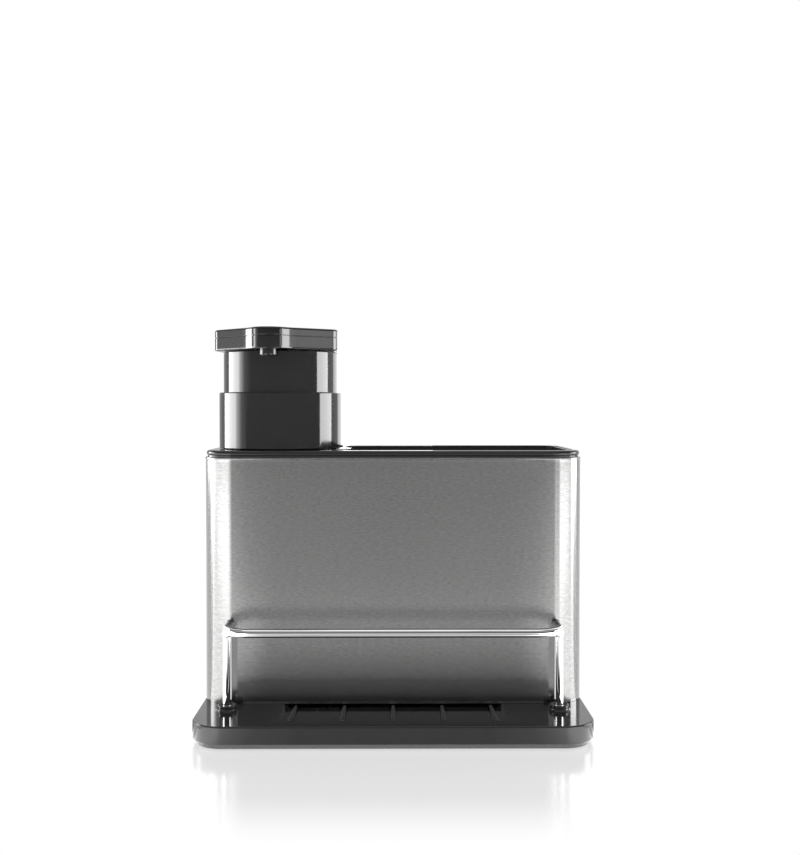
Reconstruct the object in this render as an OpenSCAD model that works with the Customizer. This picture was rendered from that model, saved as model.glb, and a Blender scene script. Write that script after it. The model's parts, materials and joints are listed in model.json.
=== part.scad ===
// Kitchen sink caddy: a brushed steel sleeve on a moulded tray, with a press-top
// soap dispenser at the left, a lift-out cutlery cup at the right and a wire
// rail that holds a sponge on the tray's draining ledge.
// X runs to the right, the front faces -Y and Z is up. The origin is the middle
// of the footprint, on the surface that the caddy stands on. Millimetres.

/* [Tray] */
// Width of the tray, which the sleeve matches
body_w = 213; // [206:1:240]
// Depth of the tray, front to back
tray_d = 135; // [128:1:160]
// Outer corner radius of the tray and of the sleeve
corner_r = 17; // [15:1:20]
// Height of the tray's outer wall
tray_h = 9.4; // [8.6:0.2:14]
// Wall of the moulded tray
tray_wall = 2.4; // [1.8:0.2:3]
// Rounding along the tray's top edge
tray_edge_r = 0.8; // [0.4:0.2:1.6]
// Height of the rubber foot that shows under the tray
foot_h = 3; // [2:0.5:5]
// Setback of the rubber foot from the tray's side
foot_inset = 3; // [2.6:0.2:3.8]
// Width of the rubber foot's strip
foot_w = 3.6; // [3.4:0.2:4.4]

/* [Draining ledge] */
// Width of the sloping recess at the ledge's surface
drain_w = 120.6; // [118:0.2:150]
// Depth of the recess where it runs under the sleeve
drain_drop = 2.3; // [1:0.1:3]
// Flat strip between the tray's front edge and the recess
drain_start = 10; // [6:1:14]
// Width of the recess's sloping side
drain_flank = 3.5; // [2:0.5:6]
// Number of sponge ribs in the recess
rib_count = 5; // [3:2:5]
// Spacing of the sponge ribs
rib_pitch = 27; // [20:1:28]
// Radius of a rib's blunt front end
rib_front_r = 2.4; // [1.8:0.1:2.8]
// Radius of a rib's thin rear end
rib_rear_r = 1.2; // [0.8:0.1:1.6]
// Height of a rib's front end over the ledge
rib_rise = 1; // [0.6:0.1:1.4]

/* [Steel sleeve] */
// Depth of the sleeve, front to back
sleeve_d = 90; // [86:1:94]
// Height of the sleeve
sleeve_h = 137; // [125:1:160]
// Sheet thickness of the sleeve
sleeve_t = 0.8; // [0.6:0.1:1]
// Height of the hem folded inwards at the sleeve's top
hem_h = 4; // [3:0.5:6]
// Radius of the bead pressed into the sleeve's top edge
bead_r = 0.65; // [0.5:0.05:0.8]

/* [Sponge rail] */
// Diameter of the rail's wire
wire_d = 4.7; // [4:0.1:5]
// Distance of the rail's posts from the tray's sides
rail_side = 15.9; // [14.5:0.1:21.5]
// Place of the front bar on the ledge, as a share of its depth from the front
rail_front_share = 0.4318; // [0.38:0.0002:0.49]
// Height of the bar's centre over the ledge
rail_rise = 44.9; // [35:0.1:60]
// Radius of the rail's bends at the wire's centre, as a share of the ledge's depth
rail_bend_share = 0.302; // [0.23:0.002:0.31]
// Diameter of the bosses that hold the posts
boss_d = 10.6; // [9:0.2:12]
// Height of the bosses
boss_h = 3; // [2:0.5:5]

/* [Top frame] */
// Thickness of the frame's rounded top
frame_t = 3.4; // [3:0.2:4.4]
// Shadow gap between the frame and the sleeve
shadow_gap = 0.5; // [0.3:0.1:0.8]
// Setback of the frame from the sleeve's outer face
frame_inset = 0.6; // [0.4:0.1:1]
// Width of the frame's rim round the cutlery opening
rim_w = 5; // [4.6:0.2:6]
// Depth of the skirt that plugs into the sleeve
spigot_h = 12; // [9:1:16]

/* [Cutlery cup] */
// Distance of the cutlery opening's left edge from the dispenser's axis
cup_left_run = 35.2; // [35:0.2:36.2]
// Corner radius at the opening's left end
cup_left_r = 9; // [7:0.5:10]
// Radius of the bulge in the opening's left end, which follows the dispenser
cup_bulge_r = 39.5; // [39:0.1:40]
// Radius of the hollows that blend the bulge into the opening's left edge
cup_blend_r = 20; // [18:1:24]
// Wall of the cup
cup_wall = 1.6; // [1.2:0.1:2.4]
// Overlap of the cup's lip on the frame
lip_w = 0.8; // [0.6:0.1:0.9]
// Thickness of the cup's lip
lip_t = 1.2; // [0.8:0.1:1.6]
// Space between the cup's floor and the tray's ledge
cup_lift = 3.6; // [2.6:0.2:10]
// Diameter of the drain holes in the cup's floor
drain_hole_d = 7; // [4:0.5:9]

/* [Soap bottle] */
// Distance of the dispenser's axis from the tray's left side
pump_side = 40.3; // [38.5:0.1:40.5]
// Outer radius of the bottle
bottle_r = 33; // [31:0.5:34]
// Wall of the bottle
bottle_wall = 1.6; // [1.2:0.1:2.2]
// Space between the bottle and the tray's ledge
bottle_lift = 2.6; // [2:0.2:12]
// Outer radius of the bottle's neck
neck_r = 29.4; // [28:0.2:30]
// Height of the bottle's neck
neck_h = 12.6; // [10:0.2:16]

/* [Pump body] */
// Outer radius of the fixed collar
collar_r = 36.5; // [36:0.1:37]
// Height of the collar over the frame
collar_h = 32.4; // [30:0.2:40]
// Wall of the collar
collar_wall = 2.2; // [1.6:0.1:2.3]
// Bore of the pump's cylinder, as a radius
cylinder_r = 8; // [7:0.1:9]
// Wall of the pump's cylinder
cylinder_wall = 1.5; // [1.2:0.1:2]
// Working length of the pump's cylinder
cylinder_len = 40; // [38:1:50]
// Outer radius of the suction tube
dip_r = 2.85; // [2.4:0.05:3.2]
// Outer radius of the pump's stem
stem_r = 4.5; // [4.2:0.1:5]
// Radius of the stem's bore
stem_bore_r = 1.8; // [1.4:0.1:2.1]
// Radius of the valve balls
ball_r = 2.3; // [2.2:0.1:2.6]

/* [Pump head] */
// Travel of the pump head
stroke = 16; // [10:1:18]
// Gap between the collar's top and the cap at rest
head_gap = 23.9; // [20:0.1:28]
// Outer radius of the skirt that telescopes into the collar
skirt_r = 33.9; // [33:0.1:34]
// Length of the skirt
skirt_len = 34; // [30:1:36]
// Wall of the skirt and of the cap
shell_wall = 1.9; // [1.4:0.1:2.4]
// Half width of the cap
cap_r = 35.9; // [35:0.1:37]
// Height of the cap
cap_h = 12.1; // [11:0.1:16]
// Height of the cap's cover, above the seam
cover_h = 4.5; // [3.5:0.1:6]
// Rounding of the cap's front corners
cap_corner_r = 7; // [5:0.5:8]
// Angle between the cap's front flats and the frontal plane
flat_angle = 39.5; // [36:0.5:42]
// Distance of the front flats from the dispenser's axis
flat_reach = 37.8; // [37:0.1:38.5]
// Distance of the nose's tip from the dispenser's axis
nose_reach = 48.5; // [47.5:0.1:49.5]
// Radius of the nose's tip
nose_r = 11; // [10:0.1:12]
// Angle between the nose's sides and the frontal plane
nose_angle = 53; // [50:1:58]
// Distance of the nozzle from the dispenser's axis
nozzle_reach = 39.4; // [39:0.1:40.5]
// Outer radius of the nozzle
nozzle_r = 4.8; // [4:0.1:5]
// Length of nozzle that shows under the cap
nozzle_drop = 3.6; // [2:0.1:5]
// Angle that the nose is turned to the left of straight ahead
head_turn = 5; // [-30:1:30]
// Radius of the return spring's wire
spring_wire_r = 0.7; // [0.5:0.05:0.9]
// Turns of the return spring
spring_turns = 9; // [6:1:12]

/* [Hidden] */
$fn = 96;

// Fits and small allowances
cut_overrun = 1;
seat_gap = 0.3;
slide_gap = 0.35;
running_gap = 0.05;
press_gap = 0.05;

// Heights that every piece shares
ledge_z = foot_h + tray_h;
sleeve_top_z = ledge_z + sleeve_h;
frame_bottom_z = sleeve_top_z + shadow_gap;
frame_top_z = frame_bottom_z + frame_t;
collar_z = frame_top_z + seat_gap;
collar_top_z = collar_z + collar_h;
cap_z = collar_top_z + head_gap;
cap_top_z = cap_z + cap_h;
seam_z = cap_top_z - cover_h;
skirt_top_z = cap_z - seat_gap;

// Plan positions
tray_front = -tray_d / 2;
tray_rear = tray_d / 2;
sleeve_inset = 0.3;
sleeve_y = tray_rear - sleeve_inset - sleeve_d / 2;
sleeve_front = sleeve_y - sleeve_d / 2;
pump_x = pump_side - body_w / 2;
pump_y = sleeve_y;
cup_left = pump_x + cup_left_run;

// Tray details
rim_land = 1.6;
rim_embed = 2;
foot_rib_inset = foot_inset + (foot_w - rim_land) / 2;
foot_grip = 1.5;
basin_drop = 0.6;
basin_margin = 15;
basin_r = 8;
upstand_h = 4;
upstand_wall = 1.6;
stiffener_t = 1.4;
stiffener_up = foot_grip + seat_gap;
stiffener_xs_share = [-0.7, -0.35, 0, 0.35, 0.7];
stiffener_ys_share = [-0.3, 0.25, 0.6];

// Sleeve details
tab_w = 14;
tab_y_share = 0.5;
screw_r = 1.5;
screw_head_r = 2.8;
screw_head_h = 1.9;
screw_len = 6;
tab_screw_in = foot_rib_inset + rim_land + screw_head_r + seat_gap - sleeve_t;
tab_edge = 4.2;
tab_len = tab_screw_in + tab_edge;
pad_r = 4.5;
bead_proud = 0.25;

// Rail details
wire_r = wire_d / 2;
rail_w = body_w - 2 * rail_side;
rail_x = rail_w / 2;
ledge_d = sleeve_front - tray_front;
function to_tenth(length) = round(10 * length) / 10;
rail_bend_r = to_tenth(rail_bend_share * ledge_d);
bar_y = tray_front + to_tenth(rail_front_share * ledge_d);
bar_z = ledge_z + rail_rise;
post_y = bar_y + rail_bend_r;
rail_screw_len = 9;
nut_r = 4.6;
nut_t = 0.8;
nut_over = max(0, rail_x + nut_r - body_w / 2 + corner_r);
nut_bend_r = corner_r - sleeve_t;
nut_rise = nut_bend_r - sqrt(nut_bend_r * nut_bend_r - nut_over * nut_over);
nut_y = sleeve_front + sleeve_t + seat_gap + nut_rise;
rail_tail = 1;
rail_end_y = nut_y + 1.5 * nut_t + rail_tail;

// Frame and opening
frame_w = body_w - 2 * frame_inset;
frame_d = sleeve_d - 2 * frame_inset;
frame_r = corner_r - frame_inset;
neck_step = 0.5;
spigot_inset = 2 * sleeve_t + seat_gap;
spigot_wall = 1.8;
open_right = frame_w / 2 - rim_w;
open_w = open_right - cup_left;
open_x = (open_right + cup_left) / 2;
blend_x = cup_left + cup_blend_r;
blend_run = blend_x - pump_x;
blend_y = sqrt(pow(cup_bulge_r + cup_blend_r, 2) - blend_run * blend_run);
open_d = frame_d - 2 * rim_w;
open_right_r = frame_r - rim_w;
hole_gap = 1;
hole_r = bottle_r + hole_gap;
ring_wall = 1.8;
snap_len = 16;
snap_proud = 0.5;
snap_h = 1.2;
edge_r = 0.7;

// Cup details
cup_z = ledge_z + cup_lift;
cup_top_z = frame_top_z - seat_gap;
cup_floor = 2;
drain_cols = 5;
drain_rows = 3;
drain_pitch_share = 0.17;
drain_row_share = 0.27;
cup_foot_h = 0.6;

// Bottle and closure details
bottle_z = ledge_z + bottle_lift;
gasket_t = 1.2;
neck_top_z = collar_z - gasket_t;
shoulder_z = neck_top_z - neck_h;
shoulder_h = 5;
thread_gap = 0.4;
closure_wall = 2.2;
closure_h = neck_h - 2;
base_r = 4;
deck_t = 2.6;
deck_z = collar_z;
deck_top_z = deck_z + deck_t;

// Pump engine heights and radii
flange_r = 14;
flange_t = 2;
flange_z = deck_top_z;
cylinder_out_r = cylinder_r + cylinder_wall;
cylinder_bottom_z = flange_z - cylinder_len;
valve_h = 7;
valve_bore_r = ball_r + 1;
seat_h = 5;
seat_bore_r = ball_r * 0.78;
seat_z = cylinder_bottom_z - valve_h;
socket_h = 12;
socket_wall = 1.5;
socket_r = dip_r + press_gap;
socket_bottom_z = seat_z - seat_h - socket_h;
dip_wall = 0.95;
dip_clear = 2.4;
guide_z = flange_z + flange_t;
guide_t = 3;
guide_hub_h = 8;
guide_hub_r = 6.4;
spring_z = guide_z + guide_t;
spring_mean_r = guide_hub_r + 1 + spring_wire_r;
skirt_plate_t = 2.2;
spring_h = skirt_top_z - skirt_plate_t - spring_z - 2 * seat_gap;
spring_sides = 6;
spring_steps = 12;
ground_turns = 1;
piston_h = 9.4;
piston_bore_wall = 1.3;
spigot_r = stem_r - piston_bore_wall;
foot_flange_h = 1.5;
piston_drop = 20.5;
piston_z = flange_z - piston_drop;
foot_z = piston_z - seat_gap - foot_flange_h;
lip_h = 2.2;
lip_wall = 1.1;
stem_top_z = cap_z + 4.6;
outlet_seat_z = stem_top_z - 9;
outlet_bore_r = ball_r + 0.5;
outlet_seat_share = 0.78;

// Head details
cap_corner_x = cap_r - cap_corner_r;
cap_corner_y = (flat_reach - cap_corner_r - cap_corner_x * sin(flat_angle)) / cos(flat_angle);
nose_centre = nose_reach - nose_r;
edge_steps = 4;
plate_t = 2.2;
cover_lip = 1.6;
seam_h = 0.35;
seam_depth = 0.5;
cover_top_r = 1.2;
channel_r = 2.6;
channel_bore_r = 1.5;
riser_bore_r = 1.9;
channel_z = cap_z + plate_t + channel_r + 0.6;
spout_seat_z = channel_z - channel_r - seat_gap;
cap_socket_wall = 1.9;
nozzle_bore_r = 1.6;
nozzle_collar_r = nozzle_r + 0.8;
nozzle_collar_h = 1.4;
skirt_edge_r = 0.6;
skirt_hub_h = 6;
skirt_hub_wall = 1.6;
collar_edge_r = 0.8;

// Rounded rectangle with its own radius at the left and at the right end
module rounded_plan(w, d, left_r, right_r) {
    union() {
        for (side = [-1, 1]) {
            translate([-w / 2 + left_r, side * (d / 2 - left_r)]) circle(left_r);
            translate([w / 2 - right_r, side * (d / 2 - right_r)]) circle(right_r);
        }
        polygon([
            [-w / 2 + left_r, -d / 2], [w / 2 - right_r, -d / 2],
            [w / 2, -d / 2 + right_r], [w / 2, d / 2 - right_r],
            [w / 2 - right_r, d / 2], [-w / 2 + left_r, d / 2],
            [-w / 2, d / 2 - left_r], [-w / 2, -d / 2 + left_r]
        ]);
    }
}

// Upright slab of the tray's or the sleeve's plan, drawn in by inset
module body_slab(d, inset, bottom, top) {
    r = corner_r - inset;
    translate([0, 0, bottom])
        linear_extrude(top - bottom)
            rounded_plan(body_w - 2 * inset, d - 2 * inset, r, r);
}

// The same, placed at the sleeve
module sleeve_slab(inset, bottom, top) {
    translate([0, sleeve_y, 0]) body_slab(sleeve_d, inset, bottom, top);
}

// Carries a profile, drawn as [distance outwards, height], round a rounded
// rectangle: four straight runs and four turned corners
module swept_edge(w, d, r) {
    for (corner = [[1, 1, 0], [-1, 1, 90], [-1, -1, 180], [1, -1, 270]])
        translate([corner[0] * (w / 2 - r), corner[1] * (d / 2 - r), 0])
            rotate([0, 0, corner[2]])
                rotate_extrude(angle = 90) translate([r, 0]) children();
    for (side = [0, 1]) {
        rotate([0, 0, 180 * side]) {
            translate([w / 2, d / 2 - r, 0])
                rotate([90, 0, 0]) linear_extrude(d - 2 * r) children();
            translate([-w / 2 + r, d / 2, 0])
                rotate([90, 0, 90]) linear_extrude(w - 2 * r) children();
        }
    }
}

// Turned ring between two radii
module ring(outer, inner, bottom, top) {
    translate([0, 0, bottom])
        difference() {
            cylinder(r = outer, h = top - bottom);
            translate([0, 0, -cut_overrun])
                cylinder(r = inner, h = top - bottom + 2 * cut_overrun);
        }
}

module at_pump() {
    translate([pump_x, pump_y, 0]) children();
}

// Pieces of the pump head turn with it
module at_head() {
    at_pump() rotate([0, 0, -head_turn]) children();
}

module at_each_post() {
    for (side = [-1, 1])
        translate([side * rail_x, post_y, 0]) children();
}

module at_each_tab() {
    for (side = [-1, 1], row = [-1, 1])
        translate([side * (body_w / 2 - sleeve_t), sleeve_y + row * tab_y_share * sleeve_d / 2, 0])
            rotate([0, 0, side > 0 ? 180 : 0]) children();
}

module at_each_tab_screw() {
    at_each_tab() translate([tab_screw_in, 0, 0]) children();
}

// Base tray

module drain_wedge(margin, drop) {
    run = sleeve_front - (tray_front + drain_start);
    under = sleeve_t + basin_margin;
    slope_drop = drop * (run + under) / run;
    low_w = drain_w / 2 - drain_flank + margin;
    high_w = drain_w / 2 + margin;
    translate([0, tray_front + drain_start - margin, ledge_z])
        intersection() {
            rotate([90, 0, 90])
                translate([0, 0, -high_w])
                    linear_extrude(2 * high_w)
                        polygon([
                            [0, 0], [run + under + margin, -slope_drop],
                            [run + under + margin, 2 * cut_overrun], [0, 2 * cut_overrun]
                        ]);
            translate([0, run + under + margin, 0])
                rotate([90, 0, 0])
                    linear_extrude(run + under + margin)
                        polygon([
                            [-low_w, -slope_drop], [low_w, -slope_drop],
                            [high_w, 0], [high_w, 2 * cut_overrun],
                            [-high_w, 2 * cut_overrun], [-high_w, 0]
                        ]);
        }
}

module basin_slab(inset, bottom, top) {
    w = body_w - 2 * (basin_margin + inset);
    d = sleeve_d - 2 * (basin_margin + inset);
    r = basin_r - inset;
    translate([0, sleeve_y, bottom])
        linear_extrude(top - bottom) rounded_plan(w, d, r, r);
}

module sponge_rib(x) {
    front_y = tray_front + drain_start + rib_front_r;
    rear_y = sleeve_front - rib_rear_r;
    front_z = ledge_z + rib_rise - rib_front_r;
    rear_z = ledge_z - rib_rear_r - seat_gap;
    run = rear_y - front_y;
    climb = rear_z - front_z;
    slope_len = sqrt(run * run + climb * climb);
    translate([x, front_y, front_z]) {
        sphere(rib_front_r);
        rotate([-atan2(run, climb), 0, 0])
            cylinder(r1 = rib_front_r, r2 = rib_rear_r, h = slope_len);
    }
    translate([x, rear_y, rear_z]) sphere(rib_rear_r);
}

module base_tray() {
    basin_z = ledge_z - drain_drop - basin_drop;
    pan_z = basin_z - tray_wall;
    deck_under = ledge_z - tray_wall;
    color([0.2, 0.2, 0.21])
        difference() {
            union() {
                // Outer wall and ledge with a rounded top edge
                difference() {
                    union() {
                        body_slab(tray_d, 0, foot_h, ledge_z - tray_edge_r);
                        body_slab(tray_d, tray_edge_r, foot_h, ledge_z);
                        swept_edge(body_w, tray_d, corner_r)
                            translate([-tray_edge_r, ledge_z - tray_edge_r])
                                intersection() {
                                    circle(tray_edge_r);
                                    square(tray_edge_r);
                                }
                    }
                    body_slab(tray_d, tray_wall, foot_h - cut_overrun, deck_under);
                }
                // Rib that the rubber foot is pressed onto
                difference() {
                    body_slab(tray_d, foot_rib_inset, foot_h - foot_grip + seat_gap, ledge_z - tray_wall / 2);
                    body_slab(tray_d, foot_rib_inset + rim_land, -cut_overrun, deck_under);
                }
                // Pan under the recess and the basin
                intersection() {
                    translate([0, 0, -tray_wall]) drain_wedge(tray_wall, drain_drop);
                    body_slab(tray_d, tray_wall, foot_h, ledge_z - tray_edge_r);
                }
                basin_slab(-tray_wall, pan_z, ledge_z - tray_edge_r);
                // Stiffeners under the ledge
                intersection() {
                    body_slab(tray_d, tray_wall / 2, foot_h + stiffener_up, ledge_z - tray_wall / 2);
                    union() {
                        for (share = stiffener_xs_share)
                            translate([share * body_w / 2 - stiffener_t / 2, tray_front, foot_h])
                                cube([stiffener_t, tray_d, tray_h]);
                        for (share = stiffener_ys_share)
                            translate([-body_w / 2, share * tray_d / 2 - stiffener_t / 2, foot_h])
                                cube([body_w, stiffener_t, tray_h]);
                    }
                }
                // Wall that the sleeve is slipped over
                difference() {
                    sleeve_slab(sleeve_t + seat_gap, ledge_z - tray_wall / 2, ledge_z + upstand_h);
                    sleeve_slab(sleeve_t + seat_gap + upstand_wall, deck_under, ledge_z + upstand_h + cut_overrun);
                    at_each_tab()
                        translate([-cut_overrun, -tab_w / 2 - slide_gap, ledge_z])
                            cube([tab_len, tab_w + 2 * slide_gap, upstand_h + cut_overrun]);
                    translate([-drain_w / 2, sleeve_front, ledge_z])
                        cube([drain_w, basin_margin, upstand_h + cut_overrun]);
                    translate([-rail_x - body_w, sleeve_front - cut_overrun, ledge_z])
                        cube([body_w, corner_r, upstand_h + cut_overrun]);
                    translate([rail_x, sleeve_front - cut_overrun, ledge_z])
                        cube([body_w, corner_r, upstand_h + cut_overrun]);
                }
                // Bosses for the rail's posts, with rounded shoulders
                at_each_post()
                    translate([0, 0, ledge_z - tray_wall / 2])
                        rotate_extrude() {
                            square([boss_d / 2 - edge_r, boss_h + tray_wall / 2]);
                            square([boss_d / 2, boss_h + tray_wall / 2 - edge_r]);
                            translate([boss_d / 2 - edge_r, boss_h + tray_wall / 2 - edge_r])
                                intersection() {
                                    circle(edge_r);
                                    square(edge_r);
                                }
                        }
                // Screw pads under the posts and the sleeve's tabs
                at_each_post()
                    translate([0, 0, deck_under - tray_wall / 2])
                        cylinder(d = boss_d, h = tray_wall);
                at_each_tab_screw()
                    translate([0, 0, deck_under - tray_wall / 2])
                        cylinder(r = pad_r, h = tray_wall);
            }
            difference() {
                drain_wedge(0, drain_drop);
                sleeve_slab(sleeve_t + seat_gap, ledge_z, ledge_z + upstand_h + cut_overrun);
            }
            basin_slab(0, basin_z, ledge_z + cut_overrun);
            at_each_post() {
                translate([0, 0, ledge_z]) cylinder(r = wire_r + press_gap, h = boss_h + cut_overrun);
                cylinder(r = screw_r + press_gap, h = ledge_z + cut_overrun);
            }
            at_each_tab_screw()
                cylinder(r = screw_r + press_gap, h = ledge_z + cut_overrun);
        }
    color([0.2, 0.2, 0.21]) {
        for (i = [0 : rib_count - 1])
            sponge_rib((i - (rib_count - 1) / 2) * rib_pitch);
    }
}

module foot_ring() {
    color([0.44, 0.44, 0.45])
        difference() {
            body_slab(tray_d, foot_inset, 0, foot_h + foot_grip);
            body_slab(tray_d, foot_inset + foot_w, -cut_overrun, foot_h + foot_grip + cut_overrun);
            difference() {
                body_slab(tray_d, foot_rib_inset, foot_h - foot_grip + seat_gap, foot_h + foot_grip + cut_overrun);
                body_slab(tray_d, foot_rib_inset + rim_land, 0, foot_h + foot_grip + 2 * cut_overrun);
            }
        }
}

// Steel sleeve

module steel_sleeve() {
    hole_r = wire_r + 2 * press_gap;
    color([0.62, 0.62, 0.61])
        difference() {
            union() {
                difference() {
                    sleeve_slab(0, ledge_z, sleeve_top_z);
                    sleeve_slab(sleeve_t, ledge_z - cut_overrun, sleeve_top_z - hem_h);
                    sleeve_slab(2 * sleeve_t, ledge_z, sleeve_top_z + cut_overrun);
                }
                translate([0, sleeve_y, 0])
                    swept_edge(body_w, sleeve_d, corner_r)
                        translate([bead_proud - bead_r, sleeve_top_z - bead_r]) circle(bead_r);
                at_each_tab()
                    translate([-sleeve_t / 2, -tab_w / 2, ledge_z])
                        cube([tab_len + sleeve_t / 2, tab_w, sleeve_t]);
            }
            for (side = [-1, 1])
                translate([side * rail_x, sleeve_front - cut_overrun, bar_z])
                    rotate([-90, 0, 0]) cylinder(r = hole_r, h = corner_r);
            at_each_tab_screw()
                translate([0, 0, ledge_z - cut_overrun])
                    cylinder(r = screw_r, h = sleeve_t + 2 * cut_overrun);
        }
}

// Pan-head screw that points up, with its head's seat at z = 0
module pan_screw(shank_len, shank_r) {
    cylinder(r = shank_r, h = shank_len);
    translate([0, 0, -screw_head_h])
        difference() {
            rotate_extrude() {
                square([screw_head_r, screw_head_h - edge_r]);
                square([screw_head_r - edge_r, screw_head_h]);
                translate([screw_head_r - edge_r, screw_head_h - edge_r])
                    intersection() {
                        circle(edge_r);
                        square(edge_r);
                    }
            }
            translate([0, 0, -cut_overrun])
                cylinder(r = screw_r, h = screw_head_h / 2 + cut_overrun, $fn = 6);
        }
}

module sleeve_screws() {
    color([0.7, 0.7, 0.7])
        at_each_tab_screw()
            translate([0, 0, ledge_z - 1.5 * tray_wall])
                pan_screw(screw_len, screw_r - press_gap);
}

// Sponge rail

module sponge_rail() {
    side_run = rail_end_y - post_y;
    color([0.8, 0.8, 0.82])
        difference() {
            union() {
                translate([-rail_x + rail_bend_r, bar_y, bar_z])
                    rotate([0, 90, 0]) cylinder(r = wire_r, h = rail_w - 2 * rail_bend_r);
                for (side = [0, 1])
                    mirror([side, 0, 0]) {
                        translate([rail_x - rail_bend_r, post_y, bar_z])
                            rotate([0, 0, -90])
                                rotate_extrude(angle = 90)
                                    translate([rail_bend_r, 0]) circle(wire_r);
                        translate([rail_x, post_y, bar_z])
                            rotate([-90, 0, 0]) cylinder(r = wire_r, h = side_run);
                        translate([rail_x, post_y, ledge_z])
                            cylinder(r = wire_r, h = bar_z - ledge_z);
                    }
            }
            at_each_post()
                translate([0, 0, ledge_z - cut_overrun])
                    cylinder(r = screw_r, h = rail_screw_len);
        }
}

module rail_screws() {
    color([0.7, 0.7, 0.7])
        at_each_post()
            translate([0, 0, ledge_z - 1.5 * tray_wall])
                pan_screw(rail_screw_len, screw_r - press_gap);
}

module rail_nuts() {
    color([0.7, 0.7, 0.7])
        for (side = [-1, 1])
            translate([side * rail_x, nut_y, bar_z])
                rotate([-90, 0, 0])
                    difference() {
                        union() {
                            cylinder(r = nut_r, h = nut_t / 2);
                            translate([0, 0, nut_t / 2])
                                cylinder(r1 = nut_r, r2 = wire_r + 2 * press_gap, h = nut_t);
                        }
                        translate([0, 0, -cut_overrun])
                            cylinder(r = wire_r + press_gap / 2, h = 2 * nut_t + 2 * cut_overrun);
                    }
}

// Top frame

// Bulge round the dispenser, with the hollow that blends each end of it into
// the opening's left edge
module bulge_plan(grow) {
    translate([pump_x, pump_y]) circle(cup_bulge_r - grow);
    for (side = [-1, 1])
        translate([0, pump_y])
            difference() {
                polygon([[pump_x, 0], [blend_x, side * blend_y], [cup_left - grow, side * blend_y]]);
                translate([blend_x, side * blend_y]) circle(cup_blend_r + grow);
            }
}

// Cutlery opening, let out by grow: a rounded rectangle less the bulge
module opening_plan(grow) {
    difference() {
        translate([open_x, sleeve_y])
            rounded_plan(open_w + 2 * grow, open_d + 2 * grow, cup_left_r + grow, open_right_r + grow);
        bulge_plan(grow);
    }
}

module top_frame() {
    spigot_top = frame_bottom_z + frame_t / 2;
    spigot_z = sleeve_top_z - spigot_h;
    color([0.2, 0.2, 0.21])
        difference() {
            union() {
                // Flat top with a half-round nosing all the way round
                translate([0, sleeve_y, frame_bottom_z])
                    linear_extrude(frame_t)
                        rounded_plan(frame_w - frame_t, frame_d - frame_t, frame_r - frame_t / 2, frame_r - frame_t / 2);
                translate([0, sleeve_y, 0])
                    swept_edge(frame_w, frame_d, frame_r)
                        translate([-frame_t / 2, frame_bottom_z + frame_t / 2])
                            intersection() {
                                circle(frame_t / 2);
                                translate([0, -frame_t / 2]) square([frame_t / 2, frame_t]);
                            }
                // Neck that makes the shadow gap and rests on the hem
                difference() {
                    sleeve_slab(frame_inset + neck_step, sleeve_top_z, spigot_top);
                    sleeve_slab(spigot_inset + spigot_wall, spigot_z, spigot_top + cut_overrun);
                }
                // Skirt that plugs into the sleeve
                difference() {
                    sleeve_slab(spigot_inset, spigot_z, spigot_top);
                    sleeve_slab(spigot_inset + spigot_wall, spigot_z - cut_overrun, spigot_top + cut_overrun);
                }
                // Snap beads under the hem
                for (side = [-1, 1], row = [-1, 1])
                    translate([
                        row * body_w / 4 - snap_len / 2,
                        sleeve_y + side * (sleeve_d / 2 - spigot_inset) - snap_proud,
                        sleeve_top_z - hem_h - snap_h - press_gap
                    ])
                        cube([snap_len, 2 * snap_proud, snap_h]);
                // Short tube that steadies the dispenser
                at_pump() ring(hole_r + ring_wall, hole_r, spigot_z, spigot_top);
            }
            at_pump()
                translate([0, 0, spigot_z - cut_overrun])
                    cylinder(r = hole_r, h = spigot_h + frame_t + shadow_gap + 2 * cut_overrun);
            translate([0, 0, spigot_z - cut_overrun])
                linear_extrude(spigot_h + frame_t + shadow_gap + 2 * cut_overrun) opening_plan(0);
            translate([0, 0, frame_top_z - lip_t - 2 * seat_gap])
                linear_extrude(lip_t + 2 * seat_gap + cut_overrun) opening_plan(lip_w + slide_gap);
        }
}

// Cutlery cup

module cutlery_cup() {
    cols = (drain_cols - 1) / 2;
    rows = (drain_rows - 1) / 2;
    inside_r = cup_left_r - slide_gap - cup_wall;
    color([0.17, 0.17, 0.18])
        difference() {
            union() {
                translate([0, 0, cup_z])
                    linear_extrude(cup_top_z - cup_z) opening_plan(-slide_gap);
                translate([0, 0, cup_top_z - lip_t])
                    linear_extrude(lip_t) opening_plan(lip_w);
            }
            translate([0, 0, cup_z + cup_floor])
                linear_extrude(cup_top_z - cup_z) opening_plan(-slide_gap - cup_wall);
            for (col = [-cols : cols], row = [-rows : rows])
                translate([
                    open_x + col * drain_pitch_share * open_w,
                    sleeve_y + row * drain_row_share * open_d,
                    cup_z - cut_overrun
                ])
                    cylinder(d = drain_hole_d, h = cup_floor + 2 * cut_overrun);
            // Foot recess, so that the cup stands on a rim when it is out
            translate([0, 0, cup_z - cut_overrun])
                linear_extrude(cup_foot_h + cut_overrun) opening_plan(-2 * slide_gap - inside_r);
        }
}

// Soap bottle, turned about the dispenser's axis

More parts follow.
